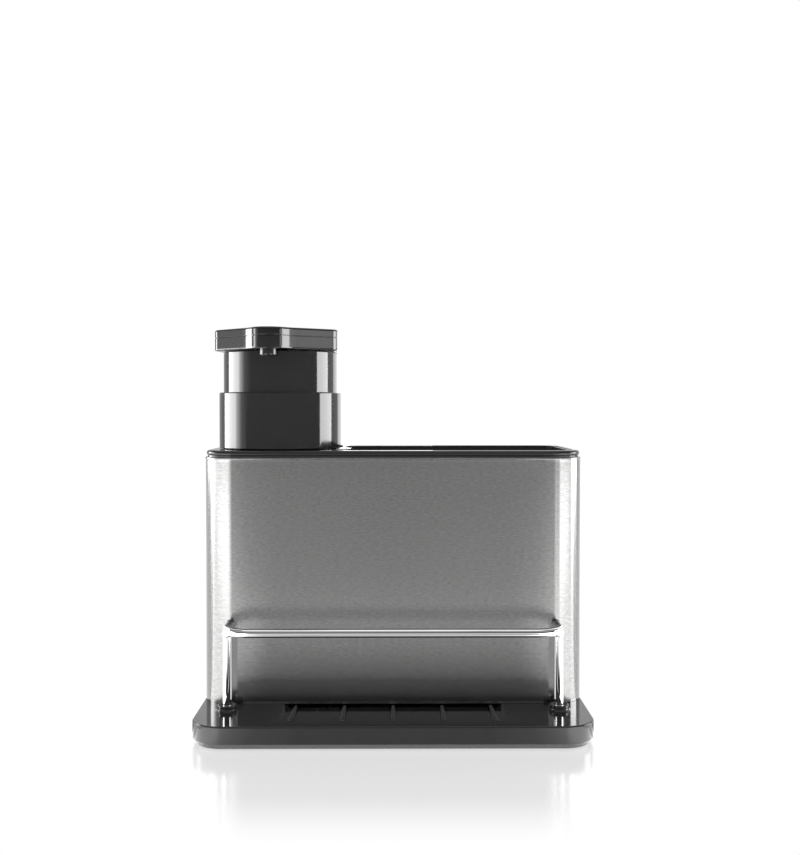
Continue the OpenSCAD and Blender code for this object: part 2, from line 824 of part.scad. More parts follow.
module soap_bottle() {
    inner_r = bottle_r - bottle_wall;
    neck_inner_r = neck_r - bottle_wall;
    color([0.86, 0.88, 0.9, 0.6])
        at_pump()
            rotate_extrude()
                difference() {
                    union() {
                        translate([0, bottle_z]) square([bottle_r - base_r, base_r]);
                        translate([0, bottle_z + base_r]) square([bottle_r, shoulder_z - shoulder_h - bottle_z - base_r]);
                        translate([bottle_r - base_r, bottle_z + base_r])
                            intersection() {
                                circle(base_r);
                                translate([0, -base_r]) square(base_r);
                            }
                        polygon([
                            [0, shoulder_z - shoulder_h], [bottle_r, shoulder_z - shoulder_h],
                            [neck_r, shoulder_z], [neck_r, neck_top_z], [0, neck_top_z]
                        ]);
                    }
                    polygon([
                        [0, bottle_z + bottle_wall], [inner_r - base_r, bottle_z + bottle_wall],
                        [inner_r, bottle_z + bottle_wall + base_r],
                        [inner_r, shoulder_z - shoulder_h - bottle_wall / 2],
                        [neck_inner_r, shoulder_z - bottle_wall / 2],
                        [neck_inner_r, neck_top_z + cut_overrun], [0, neck_top_z + cut_overrun]
                    ]);
                }
}

module neck_gasket() {
    color([0.1, 0.1, 0.1])
        at_pump() ring(neck_r, neck_r - bottle_wall - gasket_t, neck_top_z, deck_z);
}

// Fixed collar: a plain tube, pressed onto the closure's deck

module dispenser_collar() {
    inner_r = collar_r - collar_wall;
    color([0.2, 0.2, 0.21])
        at_pump()
            rotate_extrude()
                union() {
                    translate([inner_r, collar_z]) square([collar_wall, collar_h - collar_edge_r]);
                    translate([inner_r, collar_z]) square([collar_wall - collar_edge_r, collar_h]);
                    translate([collar_r - collar_edge_r, collar_top_z - collar_edge_r])
                        intersection() {
                            circle(collar_edge_r);
                            square(collar_edge_r);
                        }
                }
}

// Closure that screws onto the bottle's neck, with the deck that holds the pump
module neck_closure() {
    closure_in_r = neck_r + thread_gap;
    bore_r = cylinder_out_r + press_gap;
    rim_r = collar_r - collar_wall - press_gap;
    color([0.25, 0.25, 0.26])
        at_pump()
            rotate_extrude()
                union() {
                    translate([bore_r, deck_z]) square([rim_r - bore_r, deck_t]);
                    translate([closure_in_r, deck_z - closure_h])
                        square([closure_wall, closure_h + deck_t / 2]);
                }
}

// Pump engine

module pump_cylinder() {
    socket_out_r = socket_r + socket_wall;
    seat_out_r = valve_bore_r + cylinder_wall;
    color([0.9, 0.9, 0.88])
        at_pump()
            difference() {
                union() {
                    translate([0, 0, flange_z]) cylinder(r = flange_r, h = flange_t);
                    translate([0, 0, cylinder_bottom_z - cylinder_wall])
                        cylinder(r = cylinder_out_r, h = cylinder_len + cylinder_wall + flange_t);
                    translate([0, 0, seat_z - seat_h])
                        cylinder(r = seat_out_r, h = valve_h + seat_h);
                    translate([0, 0, socket_bottom_z])
                        cylinder(r = socket_out_r, h = socket_h + seat_h);
                }
                translate([0, 0, cylinder_bottom_z])
                    cylinder(r = cylinder_r, h = cylinder_len + flange_t + cut_overrun);
                translate([0, 0, seat_z]) cylinder(r = valve_bore_r, h = valve_h + cut_overrun);
                translate([0, 0, seat_z - seat_h - cut_overrun])
                    cylinder(r = seat_bore_r, h = seat_h + 2 * cut_overrun);
                translate([0, 0, socket_bottom_z - cut_overrun])
                    cylinder(r = socket_r, h = socket_h + cut_overrun);
            }
}

// Height of a ball's centre over the edge of the hole that it closes
function ball_rise(r, hole_r) = sqrt(r * r - hole_r * hole_r) + press_gap;

module inlet_ball() {
    color([0.75, 0.75, 0.77])
        at_pump()
            translate([0, 0, seat_z + ball_rise(ball_r, seat_bore_r)]) sphere(ball_r);
}

module dip_tube() {
    color([0.92, 0.93, 0.94])
        at_pump()
            ring(dip_r, dip_r - dip_wall, bottle_z + bottle_wall + dip_clear, seat_z - seat_h - seat_gap);
}

module stem_guide() {
    color([0.85, 0.85, 0.83])
        at_pump() {
            difference() {
                union() {
                    translate([0, 0, guide_z]) cylinder(r = flange_r, h = guide_t);
                    translate([0, 0, guide_z]) cylinder(r = guide_hub_r, h = guide_hub_h);
                }
                translate([0, 0, guide_z - cut_overrun])
                    cylinder(r = stem_r + running_gap, h = guide_hub_h + 2 * cut_overrun);
            }
        }
}

// Return spring: one tube along a helix whose end turns lie closed

function spring_angle(i) = 360 * i / spring_steps;
spring_rise = spring_h - 2 * spring_wire_r;
spring_rings = spring_turns * spring_steps;
end_pitch = 2 * spring_wire_r + 0.5;
ground_rise = ground_turns * end_pitch;
open_pitch = (spring_rise - 2 * ground_rise) / (spring_turns - 2 * ground_turns);
function spring_height(t) =
    t < ground_turns ? t * end_pitch
    : t > spring_turns - ground_turns ? spring_rise - (spring_turns - t) * end_pitch
    : ground_rise + (t - ground_turns) * open_pitch;
spring_gap = min(end_pitch, open_pitch) - 2 * spring_wire_r;

module return_spring() {
    echo(spring_least_gap = spring_gap);
    points = [
        for (i = [0 : spring_rings], k = [0 : spring_sides - 1])
            let (a = spring_angle(i), b = 360 * k / spring_sides)
            [
                (spring_mean_r + spring_wire_r * cos(b)) * cos(a),
                (spring_mean_r + spring_wire_r * cos(b)) * sin(a),
                spring_height(i / spring_steps) + spring_wire_r * sin(b)
            ]
    ];
    last = spring_rings * spring_sides;
    faces = concat(
        [for (k = [1 : spring_sides - 2]) [0, k, k + 1]],
        [for (k = [1 : spring_sides - 2]) [last, last + k + 1, last + k]],
        [
            for (i = [0 : spring_rings - 1], k = [0 : spring_sides - 1], half = [0, 1])
                let (
                    here = i * spring_sides,
                    next = here + spring_sides,
                    k2 = (k + 1) % spring_sides
                )
                half == 0 ? [here + k, next + k, next + k2] : [here + k, next + k2, here + k2]
        ]
    );
    color([0.75, 0.75, 0.77])
        at_pump()
            translate([0, 0, spring_z + seat_gap + spring_wire_r])
                polyhedron(points = points, faces = faces, convexity = 10);
}

// Plunger and stem

module piston() {
    outer = cylinder_r - running_gap;
    bore = spigot_r + running_gap;
    color([0.95, 0.95, 0.93])
        at_pump()
            translate([0, 0, piston_z])
                rotate_extrude()
                    difference() {
                        translate([bore, 0]) square([outer - bore, piston_h]);
                        translate([outer - lip_wall - lip_h / 2, -cut_overrun]) square([lip_h / 2, lip_h + cut_overrun]);
                        translate([outer - lip_wall - lip_h / 2, piston_h - lip_h])
                            square([lip_h / 2, lip_h + cut_overrun]);
                        translate([outer - lip_wall / 2, lip_h])
                            square([lip_wall / 2 + cut_overrun, piston_h - 2 * lip_h]);
                    }
}

module pump_stem() {
    shoulder = piston_z + piston_h + seat_gap;
    color([0.93, 0.93, 0.92])
        at_head()
            difference() {
                union() {
                    translate([0, 0, shoulder]) cylinder(r = stem_r, h = stem_top_z - shoulder);
                    translate([0, 0, foot_z]) cylinder(r = spigot_r, h = shoulder - foot_z);
                    translate([0, 0, foot_z]) cylinder(r = stem_r, h = foot_flange_h);
                }
                translate([0, 0, foot_z - cut_overrun])
                    cylinder(r = stem_bore_r, h = stem_top_z - foot_z + 2 * cut_overrun);
                translate([0, 0, outlet_seat_z])
                    cylinder(r = outlet_bore_r, h = stem_top_z - outlet_seat_z + cut_overrun);
            }
}

module outlet_ball() {
    color([0.75, 0.75, 0.77])
        at_head()
            translate([0, 0, outlet_seat_z + ball_rise(ball_r, stem_bore_r)]) sphere(ball_r);
}

// Pump head

// Round skirt with a plate that is pressed onto the stem. The cap turns on top
// of it, and the return spring pushes on it from below
module pump_skirt() {
    bottom = cap_z - skirt_len;
    bore_r = stem_r + press_gap;
    color([0.2, 0.2, 0.21])
        at_pump()
            rotate_extrude()
                union() {
                    translate([skirt_r - shell_wall, bottom])
                        square([shell_wall, skirt_top_z - skirt_edge_r - bottom]);
                    translate([bore_r, skirt_top_z - skirt_plate_t])
                        square([skirt_r - skirt_edge_r - bore_r, skirt_plate_t]);
                    translate([bore_r, skirt_top_z - skirt_hub_h])
                        square([skirt_hub_wall, skirt_hub_h]);
                    translate([skirt_r - skirt_edge_r, skirt_top_z - skirt_edge_r])
                        intersection() {
                            circle(skirt_edge_r);
                            square(skirt_edge_r);
                        }
                }
}

// Points of the cap's outline on its right-hand side, drawn in by inset: where
// a flat starts and ends, and where a side of the nose ends and starts
function flat_outer(inset) =
    let (corner = cap_corner_r - inset)
    [cap_corner_x + corner * sin(flat_angle), -cap_corner_y - corner * cos(flat_angle)];
function flat_inner(inset) =
    let (x = nose_r - inset)
    [x, -(flat_reach - inset - x * sin(flat_angle)) / cos(flat_angle)];
function nose_outer(inset) =
    let (tip = nose_r - inset)
    [tip * sin(nose_angle), -nose_centre - tip * cos(nose_angle)];
function nose_inner(inset) =
    let (outer = nose_outer(inset), back = -nose_centre / 2)
    [outer[0] + (back - outer[1]) * cos(nose_angle) / sin(nose_angle), back];
function mirrored(point) = [-point[0], point[1]];

// Cap's outline without its nose: a round back, straight sides, rounded front
// corners and two flats that meet at the nose
module shield_plan(inset) {
    side = cap_r - inset;
    outer = flat_outer(inset);
    inner = flat_inner(inset);
    circle(side);
    for (hand = [-1, 1])
        translate([hand * cap_corner_x, -cap_corner_y]) circle(cap_corner_r - inset);
    polygon([
        [-side, 0], [-side, -cap_corner_y], mirrored(outer), mirrored(inner),
        inner, outer, [side, -cap_corner_y], [side, 0]
    ]);
}

// Nose's outline: a round tip with straight sides that splay back into the cap
module nose_plan(inset) {
    outer = nose_outer(inset);
    inner = nose_inner(inset);
    translate([0, -nose_centre]) circle(nose_r - inset);
    polygon([mirrored(outer), outer, inner, mirrored(inner)]);
}

module cap_plan(inset) {
    shield_plan(inset);
    nose_plan(inset);
}

// Slab of one half of the cap's plan, 0 for the shield and 1 for the nose,
// with a rounded upper edge
module cap_slab(part, bottom, top, r) {
    hull() {
        translate([0, 0, bottom])
            linear_extrude(top - r - bottom) cap_part(part, 0);
        for (i = [1 : edge_steps])
            let (a = 90 * i / edge_steps)
            translate([0, 0, top - r - press_gap + r * sin(a)])
                linear_extrude(press_gap) cap_part(part, r * (1 - cos(a)));
    }
}

module cap_part(part, inset) {
    if (part == 0) shield_plan(inset);
    else nose_plan(inset);
}

module cap_base() {
    color([0.2, 0.2, 0.21])
        at_head()
            difference() {
                translate([0, 0, cap_z]) linear_extrude(seam_z - seam_h - cap_z) cap_plan(0);
                translate([0, 0, cap_z + plate_t]) linear_extrude(cap_h) cap_plan(shell_wall);
                translate([0, 0, cap_z - cut_overrun])
                    cylinder(r = stem_r + press_gap, h = plate_t + 2 * cut_overrun);
                translate([0, -nozzle_reach, cap_z - cut_overrun])
                    cylinder(r = nozzle_r + press_gap, h = plate_t + 2 * cut_overrun);
            }
}

// Channel that carries soap from the stem to the nozzle

module spout_channel() {
    socket_out = stem_r + cap_socket_wall;
    bottom = cap_z + plate_t;
    top = channel_z + channel_r + press_gap;
    block_r = nozzle_r - nozzle_bore_r / 2;
    color([0.9, 0.9, 0.88])
        at_head()
            difference() {
                union() {
                    translate([0, 0, bottom]) cylinder(r = socket_out, h = top - bottom);
                    translate([0, 0, channel_z])
                        rotate([90, 0, 0]) cylinder(r = channel_r, h = nozzle_reach);
                    translate([0, -nozzle_reach, spout_seat_z])
                        cylinder(r = block_r, h = top - spout_seat_z);
                }
                translate([0, 0, bottom - cut_overrun])
                    cylinder(r = stem_r + press_gap, h = stem_top_z - bottom + cut_overrun);
                translate([0, 0, channel_z])
                    rotate([90, 0, 0]) cylinder(r = channel_bore_r, h = nozzle_reach);
                translate([0, -nozzle_reach, spout_seat_z - cut_overrun])
                    cylinder(r = riser_bore_r, h = channel_z - spout_seat_z + cut_overrun);
                translate([0, 0, stem_top_z - cut_overrun])
                    cylinder(r = riser_bore_r, h = channel_z - stem_top_z + cut_overrun);
            }
}

module nozzle() {
    tip_z = cap_z - nozzle_drop;
    color([0.25, 0.25, 0.26])
        at_head()
            translate([0, -nozzle_reach, 0])
                rotate_extrude()
                    difference() {
                        union() {
                            translate([0, tip_z + edge_r]) square([nozzle_r, cap_z + plate_t - tip_z - edge_r]);
                            translate([0, tip_z]) square([nozzle_r - edge_r, edge_r]);
                            translate([nozzle_r - edge_r, tip_z + edge_r])
                                intersection() {
                                    circle(edge_r);
                                    translate([0, -edge_r]) square(edge_r);
                                }
                            translate([0, cap_z + plate_t]) square([nozzle_r - edge_r, spout_seat_z - cap_z - plate_t]);
                        }
                        translate([0, tip_z - cut_overrun]) square([nozzle_bore_r, cap_h]);
                        polygon([
                            [0, tip_z - cut_overrun], [nozzle_r - 2 * edge_r, tip_z - cut_overrun],
                            [nozzle_r - 2 * edge_r, tip_z], [nozzle_bore_r, tip_z + nozzle_collar_h], [0, tip_z + nozzle_collar_h]
                        ]);
                    }
}

module cap_cover() {
    lip_z = seam_z - seam_h - cover_lip;
    color([0.2, 0.2, 0.21])
        at_head()
            difference() {
                union() {
                    for (part = [0, 1])
                        cap_slab(part, seam_z, cap_top_z, cover_top_r, $fn = 72);
                    translate([0, 0, seam_z - seam_h])
                        linear_extrude(seam_h + press_gap) cap_plan(seam_depth);
                    translate([0, 0, lip_z])
                        linear_extrude(cover_lip + seam_h) cap_plan(shell_wall + press_gap);
                }
                translate([0, 0, lip_z - cut_overrun])
                    linear_extrude(cap_top_z - plate_t - lip_z + cut_overrun) cap_plan(2 * shell_wall);
            }
}

base_tray();
foot_ring();
steel_sleeve();
sleeve_screws();
sponge_rail();
rail_screws();
rail_nuts();
top_frame();
cutlery_cup();
soap_bottle();
neck_gasket();
neck_closure();
dispenser_collar();
pump_cylinder();
inlet_ball();
dip_tube();
stem_guide();
return_spring();
piston();
pump_stem();
outlet_ball();
pump_skirt();
cap_base();
spout_channel();
nozzle();
cap_cover();
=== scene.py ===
import json
import math

import bmesh
import bpy
import numpy as np
from mathutils import Matrix, Vector


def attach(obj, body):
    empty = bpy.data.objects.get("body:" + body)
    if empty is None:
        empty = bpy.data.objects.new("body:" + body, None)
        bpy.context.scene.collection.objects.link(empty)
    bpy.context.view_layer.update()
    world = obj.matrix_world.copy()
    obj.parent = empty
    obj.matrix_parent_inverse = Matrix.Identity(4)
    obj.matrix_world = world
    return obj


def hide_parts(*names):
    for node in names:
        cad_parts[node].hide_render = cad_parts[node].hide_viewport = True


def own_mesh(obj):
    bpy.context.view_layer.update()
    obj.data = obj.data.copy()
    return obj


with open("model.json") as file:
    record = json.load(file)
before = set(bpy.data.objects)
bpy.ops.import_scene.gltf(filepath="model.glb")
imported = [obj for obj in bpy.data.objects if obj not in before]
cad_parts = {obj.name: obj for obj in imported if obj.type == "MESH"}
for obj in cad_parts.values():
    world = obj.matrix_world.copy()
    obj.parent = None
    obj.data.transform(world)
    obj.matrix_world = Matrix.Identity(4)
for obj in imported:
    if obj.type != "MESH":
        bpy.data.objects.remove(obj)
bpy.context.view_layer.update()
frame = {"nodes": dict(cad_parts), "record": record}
CAD = frame["nodes"]
MM = 0.001

# real sizes, mm
BODY_W, TRAY_D, CORNER_R = 213.0, 135.0, 17.0
LEDGE_Z, FOOT_H = 12.4, 3.0
SLEEVE_D, SLEEVE_T, SLEEVE_TOP = 90.0, 0.8, 149.4
SLEEVE_Y = 22.2
SLEEVE_FRONT = SLEEVE_Y - SLEEVE_D / 2
FRAME_Z0, FRAME_T = 149.9, 3.4
FRAME_TOP = FRAME_Z0 + FRAME_T
FRAME_W, FRAME_D, FRAME_R = 211.8, 88.8, 16.4
PUMP_X, PUMP_Y = -66.2, 22.2
COLLAR_R, COLLAR_Z, COLLAR_TOP = 36.5, 153.6, 186.0
SKIRT_R, CAP_Z, CAP_TOP, SEAM_Z = 33.9, 209.9, 222.0, 217.5
STEM_BORE_R, NOZZLE_Y, HEAD_TURN = 4.55, -39.4, 5.0
RAIL_X, BAR_Y, BAR_Z, POST_Y, BEND_R, WIRE_R = 90.6, -48.2, 56.9, -34.7, 13.5, 2.35
NECK_HOLE_R, SPIGOT_Z = 34.0, 137.4


# mesh helpers
def make_object(name, verts, faces, angle=32.0):
    """A smooth mesh from points in millimetres, sharp only where faces meet at more than angle."""
    mesh = bpy.data.meshes.new(name)
    mesh.from_pydata([(x * MM, y * MM, z * MM) for x, y, z in verts], [], faces)
    mesh.validate()
    work = bmesh.new()
    work.from_mesh(mesh)
    bmesh.ops.recalc_face_normals(work, faces=work.faces)
    work.to_mesh(mesh)
    work.free()
    mesh.shade_smooth()
    mesh.set_sharp_from_angle(angle=math.radians(angle))
    ob = bpy.data.objects.new(name, mesh)
    bpy.context.scene.collection.objects.link(ob)
    return ob


def joined(name, parts):
    """Several meshes as one object."""
    work = bmesh.new()
    for part in parts:
        mesh = part.data.copy()
        mesh.transform(part.matrix_world)
        work.from_mesh(mesh)
    mesh = bpy.data.meshes.new(name)
    work.to_mesh(mesh)
    work.free()
    for part in parts:
        bpy.data.objects.remove(part)
    ob = bpy.data.objects.new(name, mesh)
    bpy.context.scene.collection.objects.link(ob)
    return ob


def apply_modifiers(ob):
    graph = bpy.context.evaluated_depsgraph_get()
    mesh = bpy.data.meshes.new_from_object(ob.evaluated_get(graph))
    ob.modifiers.clear()
    ob.data = mesh
    return ob


def cut(ob, cutters):
    """Takes each cutter away from the object, and then the cutters themselves."""
    for cutter in cutters:
        modifier = ob.modifiers.new("cut", "BOOLEAN")
        modifier.operation = "DIFFERENCE"
        modifier.solver = "EXACT"
        modifier.object = cutter
        bpy.context.view_layer.update()
        apply_modifiers(ob)
    for cutter in cutters:
        bpy.data.objects.remove(cutter)
    return ob


def soften(ob, width, angle):
    """Small rounding on every edge that is sharper than angle, with flat faces kept flat."""
    modifier = ob.modifiers.new("round", "BEVEL")
    modifier.width = width * MM
    modifier.segments = 3
    modifier.limit_method = "ANGLE"
    modifier.angle_limit = math.radians(angle)
    modifier.use_clamp_overlap = True
    modifier.miter_outer = "MITER_ARC"
    modifier.harden_normals = False
    bpy.context.view_layer.update()
    apply_modifiers(ob)
    return ob


def finish_normals(ob, angle=32.0):
    ob.data.shade_smooth()
    ob.data.set_sharp_from_angle(angle=math.radians(angle))
    modifier = ob.modifiers.new("normals", "WEIGHTED_NORMAL")
    modifier.mode = "FACE_AREA"
    modifier.weight = 80
    modifier.keep_sharp = True
    bpy.context.view_layer.update()
    return ob


def quarter(steps, first=0):
    """Angles from 0 to 90 degrees, in radians, from step first on."""
    return [math.pi / 2 * k / steps for k in range(first, steps + 1)]


def arc(cx, cy, radius, start, end, steps):
    """Points of an arc between two angles in degrees."""
    angles = [math.radians(start + (end - start) * i / steps) for i in range(steps + 1)]
    return [(cx + radius * math.cos(a), cy + radius * math.sin(a)) for a in angles]


def line(p, q, steps):
    """Points strictly between p and q."""
    return [(p[0] + (q[0] - p[0]) * i / steps, p[1] + (q[1] - p[1]) * i / steps) for i in range(1, steps)]


def rounded_outline(width, depth, radius, cx=0.0, cy=0.0, n=20, runs=(10, 6)):
    """Anticlockwise rounded rectangle, as a function of its inset. Each corner has n steps, and
    runs gives the steps of the sides along x and along y."""
    def outline(inset):
        half_w, half_d = width / 2 - inset, depth / 2 - inset
        corner_r = max(radius - inset, 0.05)
        points = []
        for i, (sx, sy, a) in enumerate(((1, 1, 0), (-1, 1, 90), (-1, -1, 180), (1, -1, 270))):
            corner = arc(cx + sx * (half_w - corner_r), cy + sy * (half_d - corner_r), corner_r,
                         a, a + 90, n)
            if points:
                points += line(points[-1], corner[0], runs[1] if i % 2 == 0 else runs[0])
            points += corner
        points += line(points[-1], points[0], runs[1])
        return points
    return outline


def ring_points(centre, u, v, radius, sides):
    """Points of a circle round centre, in the plane of the directions u and v."""
    points = []
    for j in range(sides):
        turn = 2 * math.pi * j / sides
        points.append(tuple(centre + u * (radius * math.cos(turn)) + v * (radius * math.sin(turn))))
    return points


def ring_faces(rings, sides, closed=False):
    """Faces from each ring of points to the next, and from the last to the first if closed."""
    faces = []
    for k in range(rings if closed else rings - 1):
        low, high = k * sides, (k + 1) % rings * sides
        for j in range(sides):
            after = (j + 1) % sides
            faces.append((low + j, low + after, high + after, high + j))
    return faces


def end_faces(rings, sides):
    """Faces that close the first and the last ring of points."""
    return [tuple(reversed(range(sides))), tuple(range((rings - 1) * sides, rings * sides))]


def loft(name, outline, profile, closed=False, angle=32.0):
    """Carries a profile of (inset, z) round an outline. Closed profiles make rings."""
    rings = [outline(inset) for inset, z in profile]
    verts = [(x, y, z) for ring, (inset, z) in zip(rings, profile) for x, y in ring]
    faces = ring_faces(len(rings), len(rings[0]), closed)
    if not closed:
        faces += end_faces(len(rings), len(rings[0]))
    return make_object(name, verts, faces, angle)


def lathe(name, profile, cx=0.0, cy=0.0, n=160, closed=True):
    """Turns a profile of (radius, z) about an upright axis, in n steps."""
    verts, faces, rows = [], [], []
    for radius, z in profile:
        if radius < 1e-6:
            rows.append([len(verts)])
            verts.append((cx, cy, z))
            continue
        rows.append(list(range(len(verts), len(verts) + n)))
        for i in range(n):
            turn = 2 * math.pi * i / n
            verts.append((cx + radius * math.cos(turn), cy + radius * math.sin(turn), z))
    count = len(rows)
    for k in range(count if closed else count - 1):
        low, high = rows[k], rows[(k + 1) % count]
        if len(low) == 1 and len(high) == 1:
            continue
        for j in range(n):
            after = (j + 1) % n
            if len(low) == 1:
                faces.append((low[0], high[after], high[j]))
            elif len(high) == 1:
                faces.append((low[j], low[after], high[0]))
            else:
                faces.append((low[j], low[after], high[after], high[j]))
    return make_object(name, verts, faces)


def rod(name, radius, z0, z1, cx=0.0, cy=0.0, n=48):
    """Upright solid cylinder."""
    return lathe(name, [(0.0, z0), (radius, z0), (radius, z1), (0.0, z1)], cx, cy, n, closed=False)


def fillet(profile, radii, n=5):
    """Rounds the corners of a closed list of points with the given radii, in n steps each."""
    out = []
    count = len(profile)
    for i, corner in enumerate(profile):
        radius = radii[i]
        if radius <= 0:
            out.append(corner)
            continue
        before, after = profile[i - 1], profile[(i + 1) % count]
        to_before = Vector((before[0] - corner[0], before[1] - corner[1]))
        to_after = Vector((after[0] - corner[0], after[1] - corner[1]))
        back, ahead = to_before.normalized(), to_after.normalized()
        half = back.angle(ahead) / 2
        reach = min(radius / math.tan(half), to_before.length * 0.49, to_after.length * 0.49)
        fitted = reach * math.tan(half)
        mid = (back + ahead).normalized() * (fitted / math.sin(half))
        centre = (corner[0] + mid.x, corner[1] + mid.y)
        first = Vector((corner[0] + back.x * reach - centre[0], corner[1] + back.y * reach - centre[1]))
        last = Vector((corner[0] + ahead.x * reach - centre[0], corner[1] + ahead.y * reach - centre[1]))
        turn = math.atan2(first.x * last.y - first.y * last.x, first.dot(last))
        for k in range(n + 1):
            angle = turn * k / n
            out.append((centre[0] + first.x * math.cos(angle) - first.y * math.sin(angle),
                        centre[1] + first.x * math.sin(angle) + first.y * math.cos(angle)))
    return out


def tube(name, path, radius, sides=28, cap=0.5):
    """Round bar along a path of points, with softly rounded ends."""
    points = [Vector(p) for p in path]
    ways = [(points[1] - points[0]).normalized()]
    for i in range(1, len(points) - 1):
        ways.append((points[i + 1] - points[i - 1]).normalized())
    ways.append((points[-1] - points[-2]).normalized())
    hint = Vector((0, 0, 1)) if abs(ways[0].z) < 0.9 else Vector((1, 0, 0))
    across = (hint - ways[0] * hint.dot(ways[0])).normalized()
    rings = []
    for point, way in zip(points, ways):
        across = (across - way * across.dot(way)).normalized()
        rings.append((point, across.copy(), way.cross(across), radius))
    # the ends are pulled in so that the bar keeps its length
    first, last, head, tail = rings[0], rings[-1], [], []
    for a in quarter(5):
        end_r, pull = radius - cap + cap * math.sin(a), cap * (1 - math.cos(a))
        head.append((first[0] + ways[0] * pull, first[1], first[2], end_r))
        tail.append((last[0] - ways[-1] * pull, last[1], last[2], end_r))
    rings = head + rings[1:-1] + list(reversed(tail))
    verts = []
    for centre, u, v, ring_r in rings:
        verts += ring_points(centre, u, v, ring_r, sides)
    faces = ring_faces(len(rings), sides) + end_faces(len(rings), sides)
    return make_object(name, verts, faces, 40)


def block(name, low, high):
    """Box between two opposite corners."""
    verts = [(x, y, z) for z in (low[2], high[2]) for y in (low[1], high[1]) for x in (low[0], high[0])]
    faces = [(0, 2, 3, 1), (4, 5, 7, 6), (0, 1, 5, 4), (2, 6, 7, 3), (0, 4, 6, 2), (1, 3, 7, 5)]
    return make_object(name, verts, faces)


def turn_head(ob):
    """Turns a piece of the head, modelled facing -Y at the origin, into its place."""
    move = (Matrix.Translation((PUMP_X * MM, PUMP_Y * MM, 0))
            @ Matrix.Rotation(math.radians(-HEAD_TURN), 4, "Z"))
    ob.data.transform(move)
    return ob


# materials
def material(name, color, rough, metallic=0.0):
    made = bpy.data.materials.new(name)
    made.use_nodes = True
    shader = made.node_tree.nodes["Principled BSDF"]
    shader.inputs["Base Color"].default_value = (*color, 1)
    shader.inputs["Roughness"].default_value = rough
    shader.inputs["Metallic"].default_value = metallic
    shader.inputs["IOR"].default_value = 1.5
    return made, made.node_tree.nodes, made.node_tree.links, shader


def noise(nodes, links, scale, stretch=(1, 1, 1), detail=3.0, rough=0.5):
    """Noise that is fixed to the object."""
    coords = nodes.new("ShaderNodeTexCoord")
    mapping = nodes.new("ShaderNodeMapping")
    mapping.inputs["Scale"].default_value = stretch
    texture = nodes.new("ShaderNodeTexNoise")
    texture.inputs["Scale"].default_value = scale
    texture.inputs["Detail"].default_value = detail
    texture.inputs["Roughness"].default_value = rough
    links.new(coords.outputs["Object"], mapping.inputs["Vector"])
    links.new(mapping.outputs["Vector"], texture.inputs["Vector"])
    return texture.outputs["Fac"]


def vary_rough(nodes, links, shader, source, low, high):
    """Lets the roughness follow a noise."""
    remap = nodes.new("ShaderNodeMapRange")
    remap.inputs["From Min"].default_value = 0.3
    remap.inputs["From Max"].default_value = 0.7
    remap.inputs["To Min"].default_value = low
    remap.inputs["To Max"].default_value = high
    links.new(source, remap.inputs["Value"])
    links.new(remap.outputs["Result"], shader.inputs["Roughness"])


def vary_color(nodes, links, shader, source, low, high):
    """Lets the colour follow a noise."""
    ramp = nodes.new("ShaderNodeValToRGB")
    ramp.color_ramp.elements[0].position = 0.3
    ramp.color_ramp.elements[0].color = (*low, 1)
    ramp.color_ramp.elements[1].position = 0.7
    ramp.color_ramp.elements[1].color = (*high, 1)
    links.new(source, ramp.inputs["Fac"])
    links.new(ramp.outputs["Color"], shader.inputs["Base Color"])


def bump(nodes, links, shader, height, strength, distance):
    dents = nodes.new("ShaderNodeBump")
    dents.inputs["Strength"].default_value = strength
    dents.inputs["Distance"].default_value = distance
    links.new(height, dents.inputs["Height"])
    links.new(dents.outputs["Normal"], shader.inputs["Normal"])


def gloss_plastic():
    made, nodes, links, shader = material("dark_gloss", (0.02, 0.02, 0.021), 0.075)
    fine = noise(nodes, links, 240, detail=4)
    wide = noise(nodes, links, 26, detail=2)
    vary_rough(nodes, links, shader, wide, 0.06, 0.09)
    vary_color(nodes, links, shader, fine, (0.019, 0.019, 0.0195), (0.0215, 0.0215, 0.022))
    bump(nodes, links, shader, wide, 0.02, 0.0004)
    return made


def brushed_steel():
    made, nodes, links, shader = material("sleeve_steel", (0.29, 0.29, 0.287), 0.15, 1.0)
    shader.inputs["Anisotropic"].default_value = 1.0
    shader.inputs["Anisotropic Rotation"].default_value = 0.25
    tangent = nodes.new("ShaderNodeTangent")
    tangent.direction_type = "RADIAL"
    tangent.axis = "Z"
    links.new(tangent.outputs["Tangent"], shader.inputs["Tangent"])
    grain = noise(nodes, links, 1, (160, 160, 4200), 3, 0.6)
    short = noise(nodes, links, 1, (400, 400, 1700), 3, 0.6)
    vary_rough(nodes, links, shader, grain, 0.13, 0.17)
    vary_color(nodes, links, shader, short, (0.258, 0.258, 0.256), (0.334, 0.334, 0.331))
    bump(nodes, links, shader, grain, 0.03, 0.00003)
    return made


def small_steel():
    made, nodes, links, shader = material("small_steel", (0.6, 0.6, 0.6), 0.22, 1.0)
    grain = noise(nodes, links, 900, detail=3)
    vary_rough(nodes, links, shader, grain, 0.16, 0.3)
    return made


def chrome():
    made, nodes, links, shader = material("rail_chrome", (0.9, 0.9, 0.91), 0.05, 1.0)
    grain = noise(nodes, links, 60, detail=3)
    vary_rough(nodes, links, shader, grain, 0.035, 0.075)
    bump(nodes, links, shader, grain, 0.008, 0.0002)
    return made


def rubber(name, low, high, rough=(0.5, 0.68)):
    made, nodes, links, shader = material(name, low, 0.6)
    grain = noise(nodes, links, 700, detail=4)
    vary_rough(nodes, links, shader, grain, *rough)
    vary_color(nodes, links, shader, grain, low, high)
    bump(nodes, links, shader, grain, 0.25, 0.00008)
    return made


